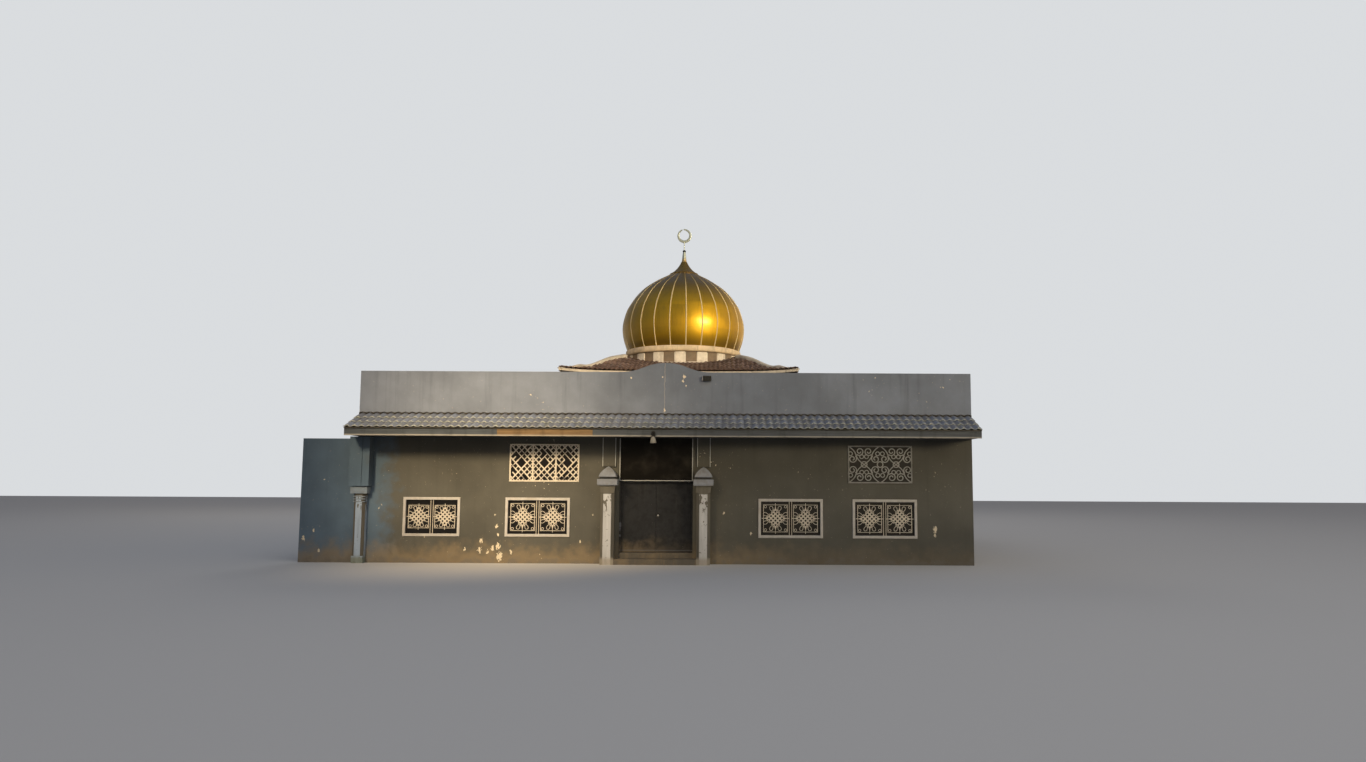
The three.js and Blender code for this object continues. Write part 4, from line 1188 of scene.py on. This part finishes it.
def hip_bands():
    """A rounded band of hand-laid cement down each hip, with a low hump near its foot."""
    inner = (DRUM_RADIUS + BLOCK_PROUD + ROOF_JOINT) / math.sqrt(2)
    crown = [(x, z ** 0.7) for x, z in arc(0, 0, 1, 180, 0, 8)[1:-1]]
    section = [(-1.0, -1.45), (-1.0, 0.0), *crown, (1.0, 0.0), (1.0, -1.45)]
    for side, name in enumerate(["front_left", "front_right", "back_right", "back_left"]):
        turn = roof_side(side)
        sideways = turn.to_3x3() @ Vector((1, -1, 0)).normalized()
        stations = []
        for row in range(HIP_ROWS + 1):
            outward = HIP_START + (1 - HIP_START) * row / HIP_ROWS
            half = inner * (1 - outward) + (ROOF_HALF - 0.002) * outward
            top = HIP_HEIGHT - HIP_FOOT_DROP * smooth_step(outward, 0.80, 1.0)
            top += HIP_HUMP * math.exp(-(((outward - HIP_HUMP_PLACE) / 0.06) ** 2))
            origin = turn @ Vector((-half, -half, roof_height(half, 1.0)))
            bend = uneven(origin * 2.3) * HIP_UNEVENNESS
            origin += Vector((bend.x, bend.y, bend.z * 0.6))
            half_width = HIP_HALF_WIDTH + 0.012 * noise.noise(origin * 3.1)
            stations.append((origin, sideways * half_width, UP * top))
        band = make("hip_band_" + name, Shapes().sweep(stations, section), "hip")
        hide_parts("hip_ridge_" + name)


def mortar_beads():
    """Lumpy mortar where the tiles meet the drum."""
    radius = DRUM_RADIUS + BLOCK_PROUD + 0.012
    stations = []
    for angle in turns(220):
        local = (angle + math.pi / 4) % (math.pi / 2) - math.pi / 4
        z = roof_height(radius * math.cos(local), abs(math.tan(local))) + MORTAR_HEIGHT
        outward = outward_at(angle)
        place = CENTRE + outward * radius
        coarse, fine = noise.noise(place * 5.0), noise.noise(place * 17.0)
        lump = MORTAR_RADIUS + MORTAR_LUMPS[0] * coarse + MORTAR_LUMPS[1] * fine
        stations.append((place + UP * z, outward * lump, UP * lump * 0.9))
    make("mortar_bead", Shapes().sweep(stations, circle(0, 0, 1, 10), True), "bead")


def eave_boards():
    """Narrow painted boards under the tile ends of the roof round the drum."""
    shapes = Shapes()
    steps = 24
    reach = ROOF_HALF + 0.002
    half_thickness, half_height = EAVE_BOARD[0] / 2, EAVE_BOARD[1] / 2
    for side in range(4):
        turn = roof_side(side)
        stations = []
        for step in range(steps + 1):
            across = -1 + 2 * step / steps
            origin = turn @ Vector((across * reach, -reach, roof_height(ROOF_HALF, across) - 0.008))
            stations.append((origin, turn.to_3x3() @ OUT, UP))
        shapes.sweep(stations, rectangle(half_thickness, -half_height, half_thickness, half_height))
    make("lantern_eave_boards", shapes, "hip")


# Drum, ring, dome and finial

def drum_wall():
    inner, low, high = DRUM_RADIUS - DRUM_WALL, DRUM_LOW.z, DRUM_HIGH.z
    section = [
        (inner, low), (DRUM_RADIUS, low), (DRUM_RADIUS, high - 0.004), (DRUM_RADIUS - 0.004, high),
        (inner, high),
    ]
    wall = make("drum_wall", Shapes().turned(section, DRUM_STEPS), "drum")
    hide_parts("drum")


def drum_blocks():
    """White blocks round the drum, with their upper corners rounded and their edges eased."""
    shapes = Shapes()
    half = math.pi / BLOCK_COUNT * BLOCK_SHARE
    back = DRUM_RADIUS - 0.01
    for block in range(BLOCK_COUNT):
        middle = 2 * math.pi * (block + BLOCK_PHASE) / BLOCK_COUNT
        rings = []
        for column in range(BLOCK_COLUMNS + 1):
            along = -1 + 2 * column / BLOCK_COLUMNS
            to_corner = max(0.0, BLOCK_CORNER - (1 - abs(along)) * half * DRUM_RADIUS)
            drop = BLOCK_CORNER - math.sqrt(max(0.0, BLOCK_CORNER**2 - to_corner**2))
            front = DRUM_RADIUS + BLOCK_PROUD - (BLOCK_BEVEL if column in (0, BLOCK_COLUMNS) else 0.0)
            eased, top = front - BLOCK_BEVEL, BLOCK_TOP - drop
            section = [
                (back, BLOCK_FOOT), (eased, BLOCK_FOOT), (front, BLOCK_FOOT + BLOCK_BEVEL),
                (front, top - BLOCK_BEVEL), (eased, top), (back, top),
            ]
            outward = outward_at(middle + along * half)
            rings.append([CENTRE + outward * radius + UP * z for radius, z in section])
        shapes.loft(rings)
    make("drum_blocks", shapes, "drum_white")


def dome_ring():
    """The cream ring under the dome: a rounded band with a thin lip at its foot."""
    ring_low, ring_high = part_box("drum_ring")
    low, high = ring_low.z, ring_high.z
    outer = (ring_high.x - ring_low.x) / 2
    inner = DRUM_RADIUS - DRUM_WALL
    section = [
        (inner, low), (outer - 0.035, low), (outer - 0.030, low + 0.012), (outer - 0.008, low + 0.018),
        (outer, low + 0.030), (outer + 0.004, low + 0.09), (outer, high - 0.035),
        (outer - 0.012, high - 0.012), (outer - 0.040, high), (inner, high),
    ]
    ring = make("dome_ring", Shapes().turned(section, DRUM_STEPS), "ring")
    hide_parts("drum_ring")


def spline(points, steps):
    """A smooth curve through points, with the same number of steps between each two of them."""
    held = [points[0], *points, points[-1]]
    curve = []
    for four in zip(held, held[1:], held[2:], held[3:]):
        for step in range(steps):
            t = step / steps
            place = []
            for a, b, c, d in zip(*four):
                v0, v1 = (c - a) / 2, (d - b) / 2
                cubic = 2 * b - 2 * c + v0 + v1
                square = -3 * b + 3 * c - 2 * v0 - v1
                place.append(cubic * t**3 + square * t**2 + v0 * t + b)
            curve.append(tuple(place))
    return curve + [points[-1]]


DOME_CURVE = spline(DOME_OUTLINE, 8)


def dome_sheets():
    """Tapering strips of sheet, each bulging a little between its ribs and its joints."""
    chance = random.Random(5)
    levels = len(SHEET_JOINTS)
    bulge = [[SHEET_BULGE * chance.uniform(0.35, 1.0) for _ in range(levels)] for _ in range(GORES)]
    tones = [[chance.random() for _ in range(levels)] for _ in range(GORES)]
    steps = GORES * GORE_STEPS
    directions = [outward_at(GORE_PHASE + turn) for turn in turns(steps)]
    outer, inner, bands = [], [], []
    for radius, z in DOME_CURVE:
        level = max(index for index, joint in enumerate(SHEET_JOINTS) if z >= joint - 1e-6)
        foot = SHEET_JOINTS[level]
        top = SHEET_JOINTS[level + 1] if level + 1 < levels else DOME_CURVE[-1][1]
        rounded = (1 - (2 * (z - foot) / (top - foot) - 1) ** 4) * radius / 2.1
        ring = []
        for step, direction in enumerate(directions):
            across = step % GORE_STEPS / GORE_STEPS * 2 - 1
            swell = bulge[step // GORE_STEPS][level] * (1 - across**2) * rounded
            ring.append(CENTRE + direction * (radius + swell) + UP * z)
        outer.append(ring)
        within = max(0.02, radius - DOME_SHELL)
        inner.append([CENTRE + direction * within + UP * z for direction in directions])
        bands.append([tones[step // GORE_STEPS][level] for step in range(steps)])
    shapes = Shapes().loft(outer + inner[::-1], True)
    edge = [0.5] * steps
    shapes.tones = sum(bands[:-1] + [edge] + bands[-2::-1] + [edge], [])
    dome = make("dome_sheets", shapes, "gold", smooth_angle=60.0)
    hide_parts("dome_shell")


def dome_ribs():
    """A raised pale rib over each joint between two strips, up to the cap."""
    curve = [(radius, z) for radius, z in DOME_CURVE if z < CAP_FOOT + 0.03]
    profile = [(-1.0, -0.4), *arc(0, 0, 1, 180, 0, 6), (1.0, -0.4)]
    shapes = Shapes()
    for gore in range(GORES):
        angle = GORE_PHASE + 2 * math.pi * gore / GORES
        outward, sideways = outward_at(angle), outward_at(angle + math.pi / 2)
        stations = []
        for index, (radius, z) in enumerate(curve):
            before, after = curve[max(0, index - 1)], curve[min(len(curve) - 1, index + 1)]
            slope = Vector((after[0] - before[0], after[1] - before[1])).normalized()
            normal = outward * slope.y - UP * slope.x
            taper = 0.18 + 0.82 * min(1.0, radius / RIB_FULL_RADIUS)
            place = CENTRE + outward * radius + UP * z
            stations.append((place, sideways * RIB_WIDTH / 2 * taper, normal * RIB_HEIGHT * taper))
        shapes.sweep(stations, profile)
    make("dome_ribs", shapes, "rib")


def dome_joints():
    """A low standing seam along each level joint between sheets."""
    shapes = Shapes()
    for joint in SHEET_JOINTS[1:-1]:
        index = next(i for i, (_, z) in enumerate(DOME_CURVE) if z >= joint)
        (r0, z0), (r1, z1) = DOME_CURVE[index - 1], DOME_CURVE[index]
        radius = r0 + (r1 - r0) * (joint - z0) / (z1 - z0)
        slope = Vector((r1 - r0, z1 - z0)).normalized()
        section = []
        for along, out in ((-0.006, -0.01), (-0.005, 0.001), (0.0, 0.002), (0.005, 0.001), (0.006, -0.01)):
            offset = slope * along + Vector((slope.y, -slope.x)) * out
            section.append((radius + offset.x, joint + offset.y))
        shapes.turned(section, GORES * GORE_STEPS)
    make("dome_seams", shapes, "gold")


def dome_cap():
    """The smooth cap over the upper ends of the ribs, with a bead round its foot."""
    (foot, foot_z), *rest = [(radius + CAP_PROUD, z) for radius, z in DOME_CURVE if z > CAP_FOOT]
    bead = [arc(foot, foot_z, CAP_PROUD, angle, angle, 1)[0] for angle in (-130, -90, -45, 0, 45)]
    section = [(foot - 0.03, foot_z), *bead, *rest, (0.02, rest[-1][1]), (0.02, foot_z + 0.15)]
    make("dome_cap", Shapes().turned(section, 48), "cap_gold")


def finial():
    """A pale neck that flares out of the dome's cap, with a dark bead and a thin rod on top."""
    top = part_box("finial_mast")[1].z
    neck = [
        (0.001, 9.870), (0.090, 9.870), (0.079, 9.925), (0.071, 10.000), (0.063, 10.090), (0.052, 10.180),
        (0.045, 10.232), (0.020, 10.240), (0.014, 10.31), (0.014, top), (0.001, top),
    ]
    bead = [(0.001, 10.228), *arc(0, 10.265, 0.060, -75, 75, 10, 0.037), (0.001, 10.302)]
    shown = make("finial_neck", Shapes().turned(neck, ROUND_STEPS), "finial")
    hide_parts("finial_mast")
    make("finial_bead", Shapes().turned(bead, ROUND_STEPS), "dark_metal")


def crescent():
    """A nearly closed ring of flat metal, broad at the foot and narrow at its two horns."""
    low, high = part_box("crescent")
    outer = (high.x - low.x) / 2
    middle = Vector((CENTRE.x, 0, low.z + outer))
    steps = 72
    opening, lean = math.radians(5), math.radians(13)
    horn, half_thickness, flat = 0.012, 0.022, 0.82
    section = [(-1, -flat), (-flat, -1), (flat, -1), (1, -flat), (1, flat), (flat, 1), (-flat, 1), (-1, flat)]
    stations = []
    for step in range(steps + 1):
        share = step / steps
        angle = math.pi / 2 + lean + opening + share * 2 * (math.pi - opening)
        half = horn + 0.034 * math.sin(math.pi * share) ** 0.6
        outward = Vector((math.cos(angle), 0, math.sin(angle)))
        stations.append((middle + outward * (outer - half), outward * half, -OUT * half_thickness))
    seat = [(0.001, -0.02), (0.022, -0.02), (0.028, 0.01), (0.018, 0.04), (0.001, 0.04)]
    shapes = Shapes().sweep(stations, section).turned([(radius, low.z + z) for radius, z in seat], 20)
    piece = make("crescent_ring", shapes, "finial", smooth_angle=40.0)
    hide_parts("crescent")


# Front fittings

def fascia_boards():
    """The eave's front boards, end to end with fine joints and eased edges, one of them newer."""
    low, high = FASCIA_LOW, FASCIA_HIGH
    joints = [low.x]
    joint = FASCIA_JOINT - BOARD_LENGTH * math.floor((FASCIA_JOINT - low.x) / BOARD_LENGTH)
    while joint < high.x - 0.1:
        joints.append(joint)
        joint += BOARD_LENGTH
    joints.append(high.x)
    shapes = Shapes()
    for start, end in zip(joints, joints[1:]):
        tone = NEWER_BOARD if abs(end - FASCIA_JOINT) < 0.01 else OLDER_BOARD
        shapes.box((start + 0.001, low.y, low.z), (end - 0.001, high.y, high.z), 0.004, tone)
    boards = make("fascia_boards", shapes, "fascia")
    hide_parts("canopy_fascia")


def wall_mortar():
    """A mortar fillet that follows the tiles' waves where the eave meets the wall, near-black as the painted
    shadow in the gaps at the tiles' upper ends.
    """
    columns = round((EAVE_HIGH.x - EAVE_LOW.x) / EAVE_COLUMN)
    steps = columns * TILE_STEPS
    section = [(-1.0, -1.0), (0.6, -1.0), (1.0, 0.0), (0.6, 1.0), (-1.0, 1.0)]
    stations = []
    for step in range(steps + 1):
        crest = 0.5 - 0.5 * math.cos(2 * math.pi * step / TILE_STEPS)
        x = EAVE_LOW.x + (EAVE_HIGH.x - EAVE_LOW.x) * step / steps
        z = EAVE_HIGH.z + TILE_SEAT + 0.022 + TILE_RIB * crest
        half = 0.022 - 0.014 * crest + 0.005 * noise.noise(Vector((x * 9.0, 0, 0)))
        stations.append((Vector((x, FRONT_FACE - 0.012, z)), OUT * 0.02, UP * half))
    make("wall_mortar", Shapes().sweep(stations, section), "mortar_shadow")


def pilaster_edges():
    """Pale render beads up both corners of the flat pilasters over the porch piers."""
    shapes = Shapes()
    front, back = PILASTER_FACE - EDGE_PROUD, PILASTER_FACE + EDGE_SUNK
    for node in ("pier_capital_left", "pier_capital_right"):
        for edge in (-1, 1):
            x = middle_x(node) + edge * (PILASTER_HALF - 0.009)
            shapes.box((x - 0.010, front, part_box(node)[1].z), (x + 0.010, back, EAVE_LOW.z), EDGE_BEVEL)
    make("pilaster_edges", shapes, "edge")


def sign_bead():
    """A thin pale bead down both sides of the sign's frame and along its foot."""
    low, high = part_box("sign_frame")
    width = 0.024
    front, back = low.y - EDGE_PROUD, low.y + EDGE_SUNK
    shapes = Shapes().box((low.x, front, low.z), (high.x, back, low.z + width), EDGE_BEVEL)
    for left in (low.x, high.x - width):
        shapes.box((left, front, low.z + width), (left + width, back, high.z), EDGE_BEVEL)
    make("sign_bead", shapes, "edge")


def capital_bands():
    """A raised band with eased edges round the foot of each porch pier's capital, under a groove painted
    near-black as its shadow.
    """
    shapes = Shapes()
    for node in ("pier_capital_left", "pier_capital_right"):
        low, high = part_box(node)
        shapes.box((low.x - 0.007, low.y - 0.007, low.z + 0.02), (high.x + 0.007, high.y, GROOVE_FOOT), 0.006)
    make("capital_bands", shapes, "cap")


def pier_rings():
    """Three narrow rings round the neck of the corner pier."""
    low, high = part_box("corner_pier")
    shapes = Shapes()
    for z in PIER_RING_FEET:
        shapes.box((low.x - 0.008, low.y - 0.008, z), (high.x + 0.008, high.y, z + 0.026), 0.005)
    make("corner_pier_rings", shapes, "cap")


def lamp():
    """A wall lamp: a black curled bracket over a flared white shade."""
    low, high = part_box("eave_lamp")
    x, back, neck = middle_x("eave_lamp"), high.y, FASCIA_LOW.z
    centre = Vector((x, back - 0.062, 0))
    shade = [
        (0.001, low.z), (0.074, low.z), (0.080, low.z + 0.012), (0.074, low.z + 0.060),
        (0.056, low.z + 0.120), (0.042, neck + 0.004), (0.001, neck + 0.004),
    ]
    curl_middle = Vector((x, back - 0.030, neck + 0.070))
    loop = flat_line(circle(0, 0, 0.040, 24, 0.062), True)
    curl = [(curl_middle + place, across, out) for place, across, out in loop]
    collar = [(0.001, -0.004), (0.046, -0.004), (0.048, 0.012), (0.020, 0.020), (0.001, 0.020)]
    bracket = Shapes().sweep(curl, rectangle(0, 0, 0.014, 0.022), True)
    bracket.box((x - 0.012, back - 0.035, neck + 0.02), (x + 0.012, back - 0.001, neck + 0.12), 0.004)
    bracket.turned([(radius, neck + z) for radius, z in collar], 24, centre)
    shown = make("lamp_shade", Shapes().turned(shade, ROUND_STEPS, centre), "lamp_glass")
    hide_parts("eave_lamp")
    make("lamp_bracket", bracket, "dark_metal")


def door_lock():
    """A dark plate and a worn pale knob over the lock of the right leaf."""
    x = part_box("door_leaf_right")[0].x + LOCK_FROM_EDGE
    half_x, half_z = LOCK_PLATE
    low = (x - half_x, LEAF_FACE - 0.008, LOCK_MIDDLE - half_z)
    high = (x + half_x, LEAF_FACE + 0.002, LOCK_MIDDLE + half_z)
    make("door_lock_plate", Shapes().box(low, high, 0.003), "dark_metal", "right_leaf")
    stations = []
    for out, share in ((0.0, 0.6), (0.022, 0.6), (0.026, 1.0), (0.046, 1.0), (0.052, 0.75)):
        stations.append((Vector((x, LEAF_FACE - out, LOCK_MIDDLE)), Vector((share, 0, 0)), UP * share))
    knob = Shapes().sweep(stations, circle(0, 0, KNOB_RADIUS, 16))
    make("door_lock", knob, "lock", "right_leaf")


def wall_box():
    """A small dark cabinet on the upper wall, with a pale strip and a lid line."""
    low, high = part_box("wall_box")
    height = high.z - low.z
    body = Shapes().box(low, (high.x, high.y, low.z + height * 0.47), 0.006)
    body.box((low.x, low.y, low.z + height * 0.53), high, 0.006)
    body.box(low + Vector((0.006, 0.010, 0.006)), high - Vector((0.006, 0.0, 0.006)), 0.002)
    strip = Shapes().box((low.x - 0.018, low.y + 0.02, low.z), (low.x, high.y, high.z), 0.004)
    shown = make("wall_box_body", body, "dark_metal")
    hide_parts("wall_box")
    make("wall_box_strip", strip, "white")


# Stage, light and camera

def stage_floor():
    mesh = bpy.data.meshes.new("stage_floor")
    corners = [(x, y, 0) for x, y in rectangle(0, 0, STAGE_HALF, STAGE_HALF)]
    mesh.from_pydata(corners, [], [[0, 1, 2, 3]])
    floor = bpy.data.objects.new("stage_floor", mesh)
    bpy.context.scene.collection.objects.link(floor)
    paint = Paint("stage_paint", 0.9)
    paint.give("Base Color", LINEAR["stage"])
    mesh.materials.append(paint.material)


def add_light(name, kind, place, target, in_gloss=False, **settings):
    """A light that shines from its place to its target, and is mirrored in gloss only where it should be."""
    light = bpy.data.lights.new(name, kind)
    for key, value in settings.items():
        setattr(light, key, value)
    holder = bpy.data.objects.new(name, light)
    holder.location = place
    holder.rotation_mode = "QUATERNION"
    holder.rotation_quaternion = (Vector(target) - Vector(place)).to_track_quat("-Z", "Y")
    holder.visible_glossy = in_gloss
    bpy.context.scene.collection.objects.link(holder)


def soft_light():
    """A broad key in front, a warm pool on the dome and one on the left of the front, and a fill behind."""
    add_light(
        "key", "AREA", (10, -34, 38), (0, -4, 3),
        shape="DISK", size=26.0, energy=3500.0, color=(0.96, 0.98, 1.0),
    )
    add_light(
        "dome_glow", "SPOT", (22.5, -26.6, 12.6), (DOME_X, 0, 7.4), in_gloss=True,
        shadow_soft_size=8.0, energy=142000.0, color=(1.0, 0.83, 0.56),
        spot_size=math.radians(18.5), spot_blend=1.0,
    )
    add_light(
        "front_glow", "SPOT", (-11, -26, 12), (-4.4, -8.1, 3.5),
        shadow_soft_size=2.5, energy=47000.0, color=(1.0, 0.77, 0.48),
        spot_size=math.radians(27.0), spot_blend=1.0,
    )
    add_light(
        "back_fill", "AREA", (-6, 34, 30), (0, 4, 3),
        shape="DISK", size=18.0, energy=2500.0, color=(1.0, 0.98, 0.95),
    )


def soft_sky():
    """An even pale backdrop, and for the light a cool sky over a warm horizon, brightest on the right."""
    world = bpy.data.worlds.new("studio")
    bpy.context.scene.world = world
    world.use_nodes = True
    tree = world.node_tree
    direction = add_node(tree, "TexCoord").outputs["Generated"]
    height = add_node(tree, "VectorMath", {0: direction, 1: SKY_LEAN}, operation="DOT_PRODUCT")
    ramp = add_node(tree, "ValToRGB", {0: height.outputs["Value"]})
    stops = ramp.color_ramp.elements
    while len(stops) < len(SKY_STOPS):
        stops.new(1.0)
    for stop, (position, colour) in zip(stops, SKY_STOPS):
        stop.position = position
        stop.color = (*colour, 1.0)
    sky = add_node(tree, "Background", {"Color": ramp.outputs["Color"], "Strength": SKY_STRENGTH})
    backdrop = add_node(tree, "Background", {"Color": BACKDROP})
    seen = add_node(tree, "LightPath").outputs["Is Camera Ray"]
    blend = add_node(tree, "MixShader", {0: seen, 1: sky.outputs[0], 2: backdrop.outputs[0]})
    feed(tree, tree.nodes["World Output"].inputs["Surface"], blend.outputs[0])


def photo_camera():
    camera_data = bpy.data.cameras.new("photo_camera")
    camera_data.sensor_width = SENSOR_WIDTH
    camera_data.lens = SENSOR_WIDTH * FOCAL_PIXELS / PHOTO_WIDTH
    camera_data.shift_x = -VANISHING_OFFSET_PIXELS / PHOTO_WIDTH
    camera_data.clip_end = 400.0
    camera = bpy.data.objects.new("photo_camera", camera_data)
    tilt = Matrix.Rotation(math.radians(90 + CAMERA_PITCH), 4, "X")
    roll = Matrix.Rotation(math.radians(CAMERA_ROLL), 4, "Z")
    camera.matrix_world = Matrix.Translation(CAMERA_PLACE) @ tilt @ roll
    bpy.context.scene.collection.objects.link(camera)
    bpy.context.scene.camera = camera


photo_camera()
finish_cad_nodes()
front_windows()
wall_windows("right", math.pi / 2, RIGHT_FACE, SIDE_WINDOW_PLACES, SIDE_SCREEN_PLACES, lattice_screen)
wall_windows("left", -math.pi / 2, -LEFT_FACE, SIDE_WINDOW_PLACES, SIDE_SCREEN_PLACES, lattice_screen)
wall_windows("back", math.pi, BACK_FACE, BACK_WINDOW_PLACES, BACK_SCREEN_PLACES, scroll_screen)
eave_tiles()
lantern_tiles()
hip_bands()
mortar_beads()
eave_boards()
drum_wall()
drum_blocks()
dome_ring()
dome_sheets()
dome_ribs()
dome_joints()
dome_cap()
finial()
crescent()
fascia_boards()
wall_mortar()
pilaster_edges()
sign_bead()
capital_bands()
pier_rings()
lamp()
door_lock()
wall_box()
stage_floor()
soft_light()
soft_sky()
bpy.context.scene.view_settings.view_transform = "Standard"
